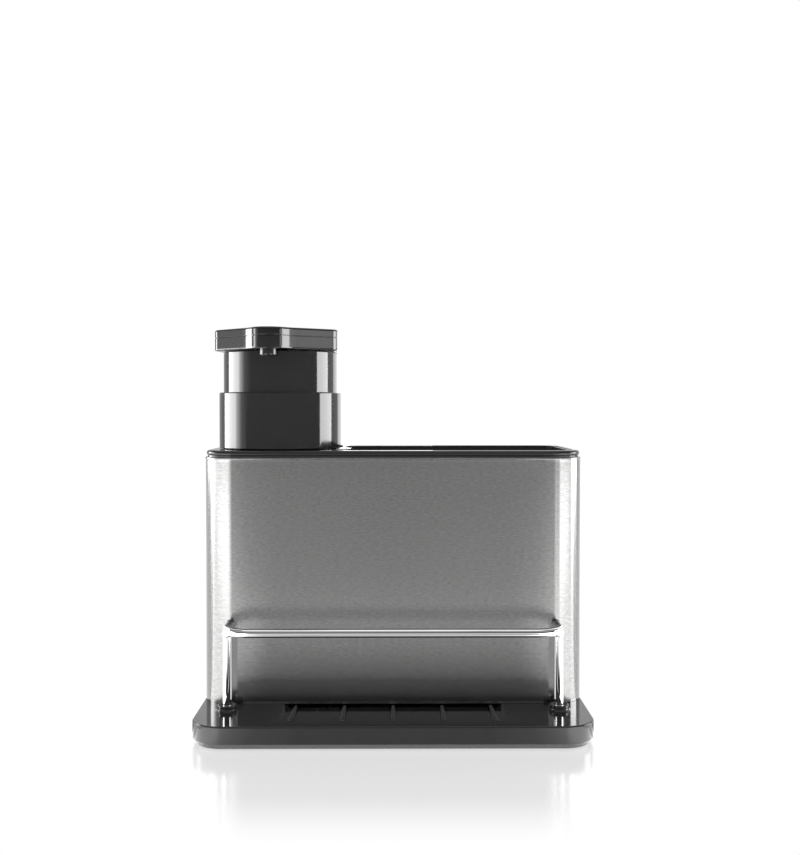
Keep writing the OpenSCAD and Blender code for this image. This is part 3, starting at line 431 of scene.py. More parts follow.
def natural_plastic():
    made, nodes, links, shader = material("natural_plastic", (0.75, 0.75, 0.72), 0.35)
    shader.inputs["Subsurface Weight"].default_value = 0.15
    shader.inputs["Subsurface Scale"].default_value = 0.002
    grain = noise(nodes, links, 300, detail=3)
    vary_rough(nodes, links, shader, grain, 0.28, 0.42)
    vary_color(nodes, links, shader, grain, (0.72, 0.72, 0.69), (0.77, 0.77, 0.74))
    return made


def clear_plastic():
    made, nodes, links, shader = material("clear_plastic", (0.8, 0.82, 0.84), 0.22)
    shader.inputs["Transmission Weight"].default_value = 0.75
    grain = noise(nodes, links, 80, detail=3)
    vary_rough(nodes, links, shader, grain, 0.18, 0.32)
    bump(nodes, links, shader, grain, 0.06, 0.0004)
    return made


MATS = {
    "dark_gloss": gloss_plastic(),
    "sleeve_steel": brushed_steel(),
    "small_steel": small_steel(),
    "rail_chrome": chrome(),
    "grey_rubber": rubber("grey_rubber", (0.29, 0.29, 0.295), (0.33, 0.33, 0.335)),
    "black_rubber": rubber("black_rubber", (0.018, 0.018, 0.018), (0.026, 0.026, 0.026)),
    "cup_plastic": rubber("cup_plastic", (0.022, 0.022, 0.023), (0.028, 0.028, 0.029), (0.26, 0.36)),
    "clear_plastic": clear_plastic(),
    "natural_plastic": natural_plastic(),
}
SLOT_OF = {s["node"]: s["material_slot"] for s in frame["record"]["subparts"]}


def paint(ob, slot_name):
    ob.data.materials.clear()
    ob.data.materials.append(MATS[slot_name])
    return ob


def place(ob, body, node):
    """Puts a piece in the place of the CAD's node, in that node's material."""
    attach(ob, body)
    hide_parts(node)
    return paint(ob, SLOT_OF[node])


# base tray
def recess_cutter(top):
    """Draining recess: it slopes down to the rear and runs on under the sleeve."""
    half_front, half_rear, front, rear = 60.3, 56.8, -57.5, -22.8
    drop, run_on, above = 2.3, 16.0, top + 3
    slope = drop / (rear - front)
    end = rear + run_on
    end_z = top - slope * (end - front)
    verts = [(-half_front, front, top), (half_front, front, top),
             (half_rear, end, end_z), (-half_rear, end, end_z),
             (-half_front, front, above), (half_front, front, above),
             (half_front, end, above), (-half_front, end, above),
             (-half_front, end, top), (half_front, end, top)]
    faces = [(0, 3, 2, 1), (4, 5, 7, 6), (0, 1, 5, 4), (1, 2, 9), (1, 9, 6, 5), (0, 8, 3), (0, 4, 7, 8),
             (2, 3, 8, 9), (8, 7, 6, 9)]
    return make_object("drain_cutter", verts, faces)


def tray_boss(side, top):
    """Round foot of a rail post, sunk at its top."""
    radius, height, flare, edge = 5.3, 3, 1.1, 0.7
    profile = [(0.0, top - 1.0), (6.9, top - 1.0), (6.9, top - 0.02)]
    profile += [(radius + flare * (1 - math.sin(a)), top + flare * (1 - math.cos(a))) for a in quarter(6)]
    profile += [(radius - edge + edge * math.cos(a), top + height - edge + edge * math.sin(a))
                for a in quarter(6)]
    profile += [(2.9, top + 3.0), (2.55, top + 2.8), (2.45, top + 2.2), (0.0, top + 2.2)]
    return lathe("boss", profile, side * RAIL_X, POST_Y, 72, closed=False)


def tray_upstand(top):
    """Wall that the sleeve is slipped over, open over the recess and at the front corners."""
    outline = rounded_outline(BODY_W, SLEEVE_D, CORNER_R, 0, SLEEVE_Y, n=16)
    outer, inner, height, recess, side = 1.1, 2.7, 4, 60.3, 110
    profile = [(outer, top - 0.5), (outer, top + 3.6), (1.5, top + height), (2.3, top + height),
               (inner, top + 3.6), (inner, top - 0.5)]
    wall = loft("upstand", outline, profile, closed=True)
    low, high, front = top - 2, top + 6, -26
    return cut(wall, [block("gap", (-recess, front, low), (recess, -12, high)),
                      block("gap", (-side, front, low), (-RAIL_X, -5, high)),
                      block("gap", (RAIL_X, front, low), (side, -5, high))])


def build_tray():
    outline = rounded_outline(BODY_W, TRAY_D, CORNER_R, n=28)
    top, edge = LEDGE_Z, 0.75
    profile = [(2.4, 8.8), (2.4, FOOT_H + 0.25), (2.1, FOOT_H)]
    profile += [(0.12, FOOT_H), (0.0, FOOT_H + 0.12)]
    profile += [(0.0, top - 0.9)]
    profile += [(edge * (1 - math.cos(a)), top - edge + edge * math.sin(a)) for a in quarter(8)]
    profile += [(1.4, top), (2.6, top)]
    shell = loft("tray_shell", outline, profile)
    wedge = recess_cutter(top)
    # floor under the cup and the bottle
    basin_w, basin_d, basin_r, basin_z = 183, 60, 8, 9.5
    basin = loft("basin_cutter", rounded_outline(basin_w, basin_d, basin_r, 0, SLEEVE_Y, n=8),
                 [(0, basin_z), (0, top + 3)])
    cut(shell, [wedge, basin])
    soften(shell, 0.35, 28)

    parts = [shell]
    rib_pitch = 27.0
    for i in range(-2, 3):
        parts.append(sponge_rib(i * rib_pitch))
    for side in (-1, 1):
        parts.append(tray_boss(side, top))
    parts.append(tray_upstand(top))
    # stiffening ribs under the ledge
    half_rib, low, high = 0.7, 4.8, 7.2
    for share in (-0.7, -0.35, 0, 0.35, 0.7):
        x = share * BODY_W / 2
        parts.append(block("rib_y", (x - half_rib, -65, low), (x + half_rib, 65, high)))
    for share in (-0.3, 0.25, 0.6):
        y = share * TRAY_D / 2
        parts.append(block("rib_x", (-104, y - half_rib, low), (104, y + half_rib, high)))
    return place(finish_normals(joined("tray", parts), 40), "caddy", "base_tray")


def sponge_rib(x):
    """Half-sunk tapering rib with a ball-shaped front end."""
    front, rear = Vector((x, -55.1, 11.0)), Vector((x, -24.0, 10.9))
    front_r, rear_r, sides = 2.4, 1.2, 40
    axis = (rear - front).normalized()
    u = Vector((1, 0, 0))
    v = axis.cross(u).normalized()
    rings = [(front - axis * (front_r * math.cos(a)), front_r * math.sin(a)) for a in quarter(8, 1)]
    for share in [k / 8 for k in range(1, 9)]:
        rings.append((front.lerp(rear, share), front_r + (rear_r - front_r) * share))
    rings += [(rear + axis * (rear_r * math.sin(a)), rear_r * math.cos(a)) for a in quarter(6, 1)[:-1]]
    verts = []
    for centre, radius in rings:
        verts += ring_points(centre, u, v, radius, sides)
    tip, last = len(rings) * sides, (len(rings) - 1) * sides
    verts += [tuple(front - axis * front_r), tuple(rear + axis * rear_r)]
    faces = ring_faces(len(rings), sides)
    for j in range(sides):
        after = (j + 1) % sides
        faces.append((tip, after, j))
        faces.append((tip + 1, last + j, last + after))
    return make_object("rib", verts, faces, 60)


def build_foot():
    gap = 3
    outline = rounded_outline(BODY_W - 2 * gap, TRAY_D - 2 * gap, CORNER_R - gap, n=20)
    points = [(0.0, 0.0), (3.6, 0.0), (3.6, 4.5), (2.6, 4.5), (2.6, 1.8), (1.0, 1.8), (1.0, 4.5), (0.0, 4.5)]
    profile = fillet(points, [0.2, 0.2, 0.2, 0.2, 0, 0, 0.2, 0.2], 4)
    return place(finish_normals(loft("foot", outline, profile, closed=True)), "caddy", "foot_ring")


# steel sleeve
def build_sleeve():
    outline = rounded_outline(BODY_W, SLEEVE_D, CORNER_R, 0, SLEEVE_Y, n=32, runs=(14, 8))
    top, bead, hem = SLEEVE_TOP, 0.65, 4.0
    profile = [(0.12, LEDGE_Z), (0.0, LEDGE_Z + 0.12), (0.0, LEDGE_Z + 3), (0.0, 60.0), (0.0, 110.0)]
    profile += [(0.0, top - 3.0), (0.0, top - 1.62), (-0.06, top - 1.42)]
    profile += [(0.4 - bead * math.sin(a), top - bead - bead * math.cos(a)) for a in
                [math.radians(degrees) for degrees in range(42, 181, 12)]]
    profile += [(1.0, top), (1.35, top - 0.1), (1.55, top - 0.32), (1.6, top - 0.6)]
    profile += [(1.6, top - 3.9), (1.5, top - hem), (SLEEVE_T, top - hem)]
    profile += [(SLEEVE_T, 100.0), (SLEEVE_T, LEDGE_Z)]
    ob = loft("sleeve", outline, profile, closed=True, angle=30)
    drills = []
    for side in (-1, 1):
        drill = rod("drill", 2.5, -30, 30)
        drill.data.transform(Matrix.Translation((side * RAIL_X * MM, SLEEVE_FRONT * MM, BAR_Z * MM))
                             @ Matrix.Rotation(math.pi / 2, 4, "X") @ Matrix.Scale(0.4, 4, (0, 0, 1)))
        drills.append(drill)
    cut(ob, drills)
    # tabs for the screws that come up through the tray
    tab_out, tab_in, tab_half, screw_x, screw_y = 105.9, 93.6, 7, 97.8, 22.5
    parts = [ob]
    for side in (-1, 1):
        for row in (-1, 1):
            y = SLEEVE_Y + row * screw_y
            x0, x1 = sorted((side * tab_out, side * tab_in))
            tab = block("tab", (x0, y - tab_half, LEDGE_Z), (x1, y + tab_half, LEDGE_Z + SLEEVE_T))
            cut(tab, [rod("drill", 1.5, 8, 18, side * screw_x, y, 32)])
            parts.append(tab)
    return place(finish_normals(joined("sleeve", parts), 30), "caddy", "steel_sleeve")


# sponge rail
def build_rail():
    end_y = SLEEVE_FRONT + 4.3
    straight = RAIL_X - BEND_R
    path = [(RAIL_X, end_y, BAR_Z), (RAIL_X, -26.0, BAR_Z), (RAIL_X, -30.5, BAR_Z)]
    path += [(x, y, BAR_Z) for x, y in arc(straight, POST_Y, BEND_R, 0, -90, 20)]
    path += [(x, BAR_Y, BAR_Z) for x in np.linspace(straight, -straight, 26)[1:-1]]
    path += [(x, y, BAR_Z) for x, y in arc(-straight, POST_Y, BEND_R, -90, -180, 20)]
    path += [(-RAIL_X, -30.5, BAR_Z), (-RAIL_X, -26.0, BAR_Z), (-RAIL_X, end_y, BAR_Z)]
    parts = [tube("bar", path, WIRE_R, 36)]
    for side in (-1, 1):
        post = [(side * RAIL_X, POST_Y, z) for z in np.linspace(LEDGE_Z, BAR_Z, 12)]
        parts.append(tube("post", post, WIRE_R, 36, 0.3))
        # small weld collar where the post meets the rail
        weld = [(WIRE_R, BAR_Z - 4.6), (WIRE_R + 0.1, BAR_Z - 3.9), (WIRE_R + 0.35, BAR_Z - 3.1),
                (WIRE_R + 0.5, BAR_Z - 2.4), (WIRE_R + 0.3, BAR_Z - 1.7), (WIRE_R - 0.2, BAR_Z - 1.2)]
        parts.append(lathe("weld", weld, side * RAIL_X, POST_Y, 36, closed=False))
    return place(joined("rail", parts), "caddy", "sponge_rail")


# top frame and cup
OPEN_X0, OPEN_X1, OPEN_HALF = -31.0, 100.9, 39.4
BULGE_R, BLEND_R, LEFT_R, RIGHT_R = 39.5, 20.0, 9.0, 11.4


def opening_outline(inset):
    """Outline of the cutlery opening: rounded, with a bulge round the dispenser at its left."""
    low_x, high_x, half = OPEN_X0 + inset, OPEN_X1 - inset, OPEN_HALF - inset
    left_r, right_r = max(LEFT_R - inset, 0.2), max(RIGHT_R - inset, 0.2)
    bulge, blend = BULGE_R + inset, max(BLEND_R - inset, 0.2)
    bx = OPEN_X0 + BLEND_R
    by = math.sqrt((BULGE_R + BLEND_R) ** 2 - (bx - PUMP_X) ** 2)
    turn = math.degrees(math.atan2(by, bx - PUMP_X))
    points = arc(high_x - right_r, PUMP_Y + half - right_r, right_r, 0, 90, 16)
    left_top = arc(low_x + left_r, PUMP_Y + half - left_r, left_r, 90, 180, 12)
    points += line(points[-1], left_top[0], 12) + left_top
    top_blend = arc(bx, PUMP_Y + by, blend, 180, 180 + turn, 8)
    points += line(points[-1], top_blend[0], 3) + top_blend
    points += arc(PUMP_X, PUMP_Y, bulge, turn, -turn, 16)[1:-1]
    low_blend = arc(bx, PUMP_Y - by, blend, 180 - turn, 180, 8)
    points += low_blend
    left_low = arc(low_x + left_r, PUMP_Y - half + left_r, left_r, 180, 270, 12)
    points += line(points[-1], left_low[0], 3) + left_low
    right_low = arc(high_x - right_r, PUMP_Y - half + right_r, right_r, 270, 360, 16)
    points += line(points[-1], right_low[0], 12) + right_low
    points += line(points[-1], points[0], 6)
    return points


def build_frame():
    outline = rounded_outline(FRAME_W, FRAME_D, FRAME_R, 0, SLEEVE_Y, n=24, runs=(14, 8))
    nose_r = FRAME_T / 2
    middle = FRAME_Z0 + nose_r
    profile = [(nose_r + 1.2, FRAME_Z0), (nose_r, FRAME_Z0)]
    profile += [(nose_r - nose_r * math.cos(a), middle + nose_r * math.sin(a)) for a in
                [math.radians(degrees) for degrees in range(-80, 81, 10)]]
    profile += [(nose_r, FRAME_TOP), (nose_r + 1.2, FRAME_TOP), (nose_r + 2.4, FRAME_TOP)]
    slab = loft("frame", outline, profile)
    below, inside, above = 140, 151, 160
    hole = rod("hole", NECK_HOLE_R, below, above, PUMP_X, PUMP_Y, 128)
    well = loft("well", opening_outline, [(0, below), (0, above)])
    rebate = loft("rebate", opening_outline, [(-1.15, FRAME_TOP - 1.8), (-1.15, above)])
    cut(slab, [hole, well, rebate])
    soften(slab, 0.3, 40)
    neck = rounded_outline(BODY_W, SLEEVE_D, CORNER_R, 0, SLEEVE_Y, n=16)
    spigot = loft("spigot", neck, [(1.1, SLEEVE_TOP), (1.1, inside), (3.7, inside), (3.7, SPIGOT_Z),
                                   (1.9, SPIGOT_Z), (1.9, SLEEVE_TOP)], closed=True)
    guide_r = 35.8
    guide = lathe("guide", [(NECK_HOLE_R, 137.7), (34.3, SPIGOT_Z), (35.5, SPIGOT_Z), (guide_r, 137.7),
                            (guide_r, inside), (NECK_HOLE_R, inside)], PUMP_X, PUMP_Y, 128)
    return place(finish_normals(joined("frame", [slab, spigot, guide]), 40), "caddy", "top_frame")


def build_cup():
    lip, wall, inner, top, base = -0.8, 0.35, 1.95, 153.0, 16.0
    foot_r, lip_r, rim_r, floor_r = 1.6, 0.4, 0.6, 3.0
    profile = [(4.4, base), (1.4, base)]
    profile += [(wall + foot_r * (1 - math.sin(a)), base + foot_r * (1 - math.cos(a))) for a in quarter(5, 1)]
    profile += [(wall, 60), (wall, 110), (wall, top - 1.3), (0.25, top - 1.2), (lip + 0.1, top - 1.2),
                (lip, top - 1.1)]
    profile += [(lip + lip_r * (1 - math.cos(a)), top - lip_r + lip_r * math.sin(a)) for a in quarter(4)]
    profile += [(inner - rim_r * math.sin(a), top - rim_r + rim_r * math.cos(a)) for a in quarter(5)]
    profile += [(inner, 110), (inner, 60)]
    profile += [(inner + floor_r * (1 - math.cos(a)), base + 2 + floor_r * (1 - math.sin(a)))
                for a in quarter(6)]
    ob = loft("cup", opening_outline, profile)
    width, depth = OPEN_X1 - OPEN_X0, 2 * OPEN_HALF
    drills = []
    for col in range(-2, 3):
        for row in (-1, 0, 1):
            x = OPEN_X0 + width / 2 + col * 0.17 * width
            y = PUMP_Y + row * 0.27 * depth
            drills.append(rod("drill", 3.5, 12, 24, x, y, 40))
    cut(ob, drills)
    return place(finish_normals(ob, 35), "cup", "cutlery_cup")


# dispenser
def build_collar():
    low, high, wall = COLLAR_Z, COLLAR_TOP, 2.2
    points = [(COLLAR_R - wall, low), (COLLAR_R, low), (COLLAR_R, high), (COLLAR_R - wall, high)]
    profile = fillet(points, [0.3, 0.35, 0.8, 0.5], 8)
    return place(finish_normals(lathe("collar", profile, PUMP_X, PUMP_Y, 200)), "pump", "dispenser_collar")


def build_closure():
    low, height, deck = COLLAR_Z, 10.6, 2.6
    points = [(9.55, low), (29.8, low), (29.8, low - height), (32.0, low - height), (32.0, low), (34.25, low),
              (34.25, low + deck), (9.55, low + deck)]
    profile = fillet(points, [0, 0.3, 0.4, 0.5, 0.3, 0.2, 0.4, 0.2], 5)
    return place(lathe("closure", profile, PUMP_X, PUMP_Y, 160), "pump", "neck_closure")


def build_skirt():
    low, high, inner, hub_r = CAP_Z - 34, CAP_Z - 0.3, SKIRT_R - 1.9, 6.15
    points = [(inner, low), (SKIRT_R, low), (SKIRT_R, high), (STEM_BORE_R, high), (STEM_BORE_R, high - 6.0),
              (hub_r, high - 6.0), (hub_r, high - 2.2), (inner, high - 2.2)]
    profile = fillet(points, [0.4, 0.5, 0.6, 0.2, 0.2, 0.4, 0.5, 0.6], 6)
    return place(finish_normals(lathe("skirt", profile, PUMP_X, PUMP_Y, 200)), "plunger", "pump_skirt")


CAP_R, CAP_CR, FLAT_A, FLAT_REACH = 35.9, 7.0, 39.5, 37.8
NOSE_R, NOSE_REACH, NOSE_A = 11.0, 48.5, 53.0


def cap_outline(inset):
    """Outline of the cap, facing -Y: round back, straight sides, flats and a nose."""
    def between(first, last, count):
        return [math.radians(degrees) for degrees in np.linspace(first, last, count)]

    # worked out with forward as plus y
    flat_sin, flat_cos = math.sin(math.radians(FLAT_A)), math.cos(math.radians(FLAT_A))
    nose_sin, nose_cos = math.sin(math.radians(NOSE_A)), math.cos(math.radians(NOSE_A))
    side, corner_x = CAP_R - inset, CAP_R - CAP_CR
    corner_y = (FLAT_REACH - CAP_CR - corner_x * flat_sin) / flat_cos
    corner_r, nose_r = max(CAP_CR - inset, 0.2), max(NOSE_R - inset, 0.2)
    nose_y = NOSE_REACH - NOSE_R
    # the flat is x * flat_sin + y * flat_cos = flat_reach and the nose's side
    # x * nose_sin + y * nose_cos = nose_reach, and they meet at one point
    flat_reach, nose_reach = FLAT_REACH - inset, nose_r + nose_y * nose_cos
    turn = flat_sin * nose_cos - flat_cos * nose_sin
    meet_x = (flat_reach * nose_cos - flat_cos * nose_reach) / turn
    meet_y = (flat_sin * nose_reach - nose_sin * flat_reach) / turn
    # the right half, from the nose's tip to the middle of the side
    half = [(nose_r * math.sin(a), nose_y + nose_r * math.cos(a)) for a in between(0, NOSE_A, 17)]
    half += line(half[-1], (meet_x, meet_y), 2) + [(meet_x, meet_y)]
    end_x, end_y = corner_x + corner_r * flat_sin, corner_y + corner_r * flat_cos
    half += [(meet_x + (end_x - meet_x) * share, meet_y + (end_y - meet_y) * share)
             for share in (0.12, 0.37, 0.62, 0.87)]
    half += [(corner_x + corner_r * math.sin(a), corner_y + corner_r * math.cos(a))
             for a in between(FLAT_A, 90, 13)]
    half += [(side, corner_y * share) for share in (0.75, 0.5, 0.25)]
    back = [(side * math.cos(a), side * math.sin(a)) for a in between(0, 180, 73)]
    right = [(x, -y) for x, y in half]
    left = [(-x, -y) for x, y in reversed(half)][:-1]
    return right + back + left


def build_cap():
    """Lower and upper half, with the seam between them."""
    wall_top, low_edge, seam_edge, top_edge = SEAM_Z - 0.35, 0.6, 0.16, 1.2
    profile = [(3.0, CAP_Z), (0.9, CAP_Z)]
    profile += [(low_edge * (1 - math.sin(a)), CAP_Z + low_edge * (1 - math.cos(a))) for a in quarter(6)]
    profile += [(0.0, CAP_Z + 1.2), (0.0, wall_top - 0.5)]
    profile += [(seam_edge * (1 - math.cos(a)), wall_top - seam_edge + seam_edge * math.sin(a))
                for a in quarter(4)]
    profile += [(0.9, wall_top), (1.9, wall_top), (1.9, CAP_Z + 2.4), (2.1, CAP_Z + 2.2), (3.2, CAP_Z + 2.2)]
    base = loft("cap_base", cap_outline, profile)
    cut(base, [rod("bore", STEM_BORE_R, 200, 216), rod("bore", 4.85, 200, 216, 0, NOZZLE_Y)])
    place(turn_head(finish_normals(base, 40)), "head", "cap_base")

    profile = [(5.2, SEAM_Z + 2.3), (3.8, SEAM_Z + 2.3), (3.8, SEAM_Z - 1.9), (2.2, SEAM_Z - 1.9),
               (1.95, SEAM_Z - 1.7), (1.95, SEAM_Z - 0.35), (0.55, SEAM_Z - 0.34), (0.5, SEAM_Z - 0.3),
               (0.5, SEAM_Z)]
    profile += [(seam_edge * (1 - math.sin(a)), SEAM_Z + seam_edge * (1 - math.cos(a))) for a in quarter(4)]
    profile += [(0.0, SEAM_Z + 0.6), (0.0, CAP_TOP - 1.7)]
    profile += [(top_edge * (1 - math.cos(a)), CAP_TOP - top_edge + top_edge * math.sin(a))
                for a in quarter(8)]
    # a wide shallow dish for the thumb
    profile += [(1.9, CAP_TOP - 0.005), (3.2, CAP_TOP - 0.05), (4.6, CAP_TOP - 0.14), (6.2, CAP_TOP - 0.24)]
    cover = loft("cap_cover", cap_outline, profile)
    place(turn_head(finish_normals(cover, 40)), "head", "cap_cover")


def build_nozzle():
    low, shoulder, high = CAP_Z - 3.6, 212.1, 212.4
    points = [(1.6, low + 1.4), (3.4, low + 0.1), (3.7, low), (4.8, low), (4.8, shoulder), (4.1, shoulder),
              (4.1, high), (1.6, high)]
    profile = fillet(points, [0.2, 0, 0.2, 0.55, 0.2, 0, 0.1, 0], 5)
    ob = lathe("nozzle", profile, 0, NOZZLE_Y, 72)
    return place(turn_head(ob), "head", "nozzle")


def build_bottle():
    base, shoulder, top = 15.0, 139.8, 152.4
    body_r, foot_r, bore_r, neck_bore = 33.0, 4.0, 31.4, 27.8
    outer = [(0.0, base + 1.2), (24.0, base + 1.0), (27.0, base), (29.0, base)]
    outer += [(29.0 + foot_r * math.sin(a), base + foot_r * (1 - math.cos(a))) for a in quarter(8, 1)]
    outer += [(body_r, 60), (body_r, 100), (body_r, shoulder - 6.0), (32.6, shoulder - 4.4),
              (31.2, shoulder - 1.8), (29.8, shoulder - 0.4), (29.4, shoulder + 0.6), (29.4, top - 0.3),
              (29.1, top)]
    inner = [(28.1, top), (neck_bore, top - 0.3), (neck_bore, shoulder), (29.6, shoulder - 3.0),
             (31.2, shoulder - 6.4), (bore_r, shoulder - 8), (bore_r, 60), (bore_r, base + 6)]
    inner += [(27.4 + foot_r * math.cos(a), base + 5.6 - foot_r * math.sin(a)) for a in quarter(6, 1)]
    inner += [(0.0, base + 2.6)]
    ob = lathe("bottle", outer + inner, PUMP_X, PUMP_Y, 160, closed=False)
    return place(ob, "bottle", "soap_bottle")


def build_spring():
    """Compression spring with a closed turn at each end."""
    turns, steps = 9, 36
    coil_r, wire_r, low, high, end_pitch = 8.1, 0.68, 162.2, 206.4, 1.9
    height = high - low
    open_pitch = (height - 2 * end_pitch) / (turns - 2)
    path = []
    for i in range(turns * steps + 1):
        turn = i / steps
        if turn < 1:
            rise = turn * end_pitch
        elif turn > turns - 1:
            rise = height - (turns - turn) * end_pitch
        else:
            rise = end_pitch + (turn - 1) * open_pitch
        a = 2 * math.pi * turn
        path.append((PUMP_X + coil_r * math.cos(a), PUMP_Y + coil_r * math.sin(a), low + rise))
    ob = tube("spring", path, wire_r, 12, 0.15)
    place(ob, "plunger", "return_spring")
    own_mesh(ob)


build_tray()
build_foot()
build_sleeve()
build_rail()
build_frame()
build_cup()
build_collar()
build_closure()
build_skirt()
build_cap()
build_nozzle()
build_bottle()
build_spring()

for name, ob in CAD.items():
    if not ob.hide_render:
        paint(ob, SLOT_OF[name])

# stage: how strongly the surroundings glow, and their places in metres
ROOM, BOX, BOUNCE = 0.4, 12.0, 5.2
TABLE_EDGE = -0.40
# the second height is for the near-black sheet just over the ledge: painted shade, as the steel mirrors it
CARD_Z, LEDGE_SHADE_Z = 0.0004, 0.0135
ROOM_LOW, ROOM_HIGH, BOX_HIGH, TOP_Z = 0.092, 0.3, 0.5, 3.2
ROOM_R, DIM_R, BOX_R = 1.3, 1.29, 1.5
AXIS = (PUMP_X * MM, PUMP_Y * MM)
COLLAR_GLOW_LOW, COLLAR_GLOW_HIGH = 0.1475, 0.2128
CAP_GLOW_LOW, CAP_GLOW_TOP = 0.213, 0.234


def glow_material(one_sided):
    """Glows as strongly as the mesh's glow attribute says."""
    made = bpy.data.materials.new("studio_glow")
    made.use_nodes = True
    nodes, links = made.node_tree.nodes, made.node_tree.links
    nodes.clear()
    level = nodes.new("ShaderNodeAttribute")
    level.attribute_name = "glow"
    light = nodes.new("ShaderNodeEmission")
    links.new(level.outputs["Fac"], light.inputs["Strength"])
    out = nodes.new("ShaderNodeOutputMaterial")
    if one_sided:
        mix = nodes.new("ShaderNodeMixShader")
        links.new(nodes.new("ShaderNodeNewGeometry").outputs["Backfacing"], mix.inputs["Fac"])
        links.new(light.outputs["Emission"], mix.inputs[1])
        links.new(nodes.new("ShaderNodeBsdfTransparent").outputs["BSDF"], mix.inputs[2])
        links.new(mix.outputs["Shader"], out.inputs["Surface"])
    else:
        links.new(light.outputs["Emission"], out.inputs["Surface"])
    return made


SCREEN_GLOW, CARD_GLOW = glow_material(False), glow_material(True)


def panel(name, verts, faces, glow, mat):
    """Studio panel that only mirror reflections see: it lights no matt surface."""
    mesh = bpy.data.meshes.new(name)
    mesh.from_pydata(verts, [], faces)
    mesh.materials.append(mat)
    mesh.attributes.new("glow", "FLOAT", "POINT").data.foreach_set("value", glow)
    ob = bpy.data.objects.new(name, mesh)
    bpy.context.scene.collection.objects.link(ob)
    ob.visible_camera = False
    ob.visible_shadow = False
    ob.visible_diffuse = False


def strip_faces(pairs):
    """Faces from each pair of points to the next."""
    return [(2 * k, 2 * k + 2, 2 * k + 3, 2 * k + 1) for k in range(pairs - 1)]


def grid_faces(rows, columns):
    """Faces of a grid of points that is listed row by row."""
    return [(columns * k + j, columns * k + j + 1, columns * (k + 1) + j + 1, columns * (k + 1) + j)
            for k in range(rows - 1) for j in range(columns - 1)]


def screen(name, radius, z0, z1, stations, centre=(0.0, 0.0)):
    """Upright curved screen. Each station is (degrees to the right of the camera's side, glow)."""
    verts, glow = [], []
    for (first, dim), (last, bright) in zip(stations, stations[1:]):
        steps = max(1, round((last - first) / 6))
        for k in range(steps + 1):
            a = math.radians(first + (last - first) * k / steps)
            x, y = centre[0] + radius * math.sin(a), centre[1] - radius * math.cos(a)
            verts += [(x, y, z0), (x, y, z1)]
            glow += [dim + (bright - dim) * k / steps] * 2
    panel(name, verts, strip_faces(len(glow) // 2), glow, SCREEN_GLOW)


def card(name, side, stations):
    """Card on the table at one side of the object, seen from above only. Each station is
    (x, front y, rear y, glow)."""
    verts, glow = [], []
    for x, front, rear, level in stations:
        verts += [(side * x, front, CARD_Z), (side * x, rear, CARD_Z)]
        glow += [level, level]
    faces = strip_faces(len(stations))
    if side < 0:
        faces = [tuple(reversed(f)) for f in faces]
    panel(name, verts, faces, glow, CARD_GLOW)


def seen_rays(nodes, links):
    """1 for the rays that see the white background: camera, mirror and glass rays."""
    path = nodes.new("ShaderNodeLightPath")
    total = path.outputs["Is Camera Ray"]
    for other in ("Is Glossy Ray", "Is Transmission Ray"):
        larger = nodes.new("ShaderNodeMath")
        larger.operation = "MAXIMUM"
        links.new(total, larger.inputs[0])
        links.new(path.outputs[other], larger.inputs[1])
        total = larger.outputs[0]
    return total


def build_floor():
    """White table top that keeps the object's shadow and a faint reflection."""
    made, nodes, links, matt = material("studio_floor", (0.8, 0.8, 0.8), 0.5)
    glow = nodes.new("ShaderNodeEmission")
    glow.inputs["Strength"].default_value = 0.56
    gloss = nodes.new("ShaderNodeBsdfGlossy")
    gloss.inputs["Color"].default_value = (0.34, 0.34, 0.34, 1)
    gloss.inputs["Roughness"].default_value = 0.16
    shade = nodes.new("ShaderNodeBsdfDiffuse")
    shade.inputs["Color"].default_value = (0.22, 0.22, 0.22, 1)
    seen = glow.outputs["Emission"]
    for layer in (gloss, shade):
        add = nodes.new("ShaderNodeAddShader")
        links.new(seen, add.inputs[0])
        links.new(layer.outputs["BSDF"], add.inputs[1])
        seen = add.outputs["Shader"]
    # the reflection dies away towards the camera
    spot = nodes.new("ShaderNodeSeparateXYZ")
    links.new(nodes.new("ShaderNodeTexCoord").outputs["Object"], spot.inputs["Vector"])
    fade = nodes.new("ShaderNodeMapRange")
    fade.interpolation_type = "SMOOTHSTEP"
    fade.inputs["From Min"].default_value = -0.13
    fade.inputs["From Max"].default_value = -0.195
    links.new(spot.outputs["Y"], fade.inputs["Value"])
    plain = nodes.new("ShaderNodeEmission")
    faded = nodes.new("ShaderNodeMixShader")
    links.new(fade.outputs["Result"], faded.inputs["Fac"])
    links.new(seen, faded.inputs[1])
    links.new(plain.outputs["Emission"], faded.inputs[2])
    mix = nodes.new("ShaderNodeMixShader")
    links.new(seen_rays(nodes, links), mix.inputs["Fac"])
    links.new(matt.outputs["BSDF"], mix.inputs[1])
    links.new(faded.outputs["Shader"], mix.inputs[2])
    links.new(mix.outputs["Shader"], nodes["Material Output"].inputs["Surface"])
    mesh = bpy.data.meshes.new("floor")
    mesh.from_pydata([(-6, TABLE_EDGE, 0), (6, TABLE_EDGE, 0), (6, 6, 0), (-6, 6, 0)], [], [(0, 1, 2, 3)])
    mesh.materials.append(made)
    ob = bpy.data.objects.new("floor", mesh)
    bpy.context.scene.collection.objects.link(ob)
    ob.location = (0, 0, -0.0002)


def build_world():
    """White where it is seen, and a plain even light on matt surfaces."""
    world = bpy.data.worlds.new("studio")
    bpy.context.scene.world = world
    world.use_nodes = True
    nodes, links = world.node_tree.nodes, world.node_tree.links
    background = nodes["Background"]
    background.inputs["Color"].default_value = (1, 1, 1, 1)
    level = nodes.new("ShaderNodeMapRange")
    level.inputs["To Min"].default_value = 0.8
    level.inputs["To Max"].default_value = 1.0
    links.new(seen_rays(nodes, links), level.inputs["Value"])
    links.new(level.outputs["Result"], background.inputs["Strength"])


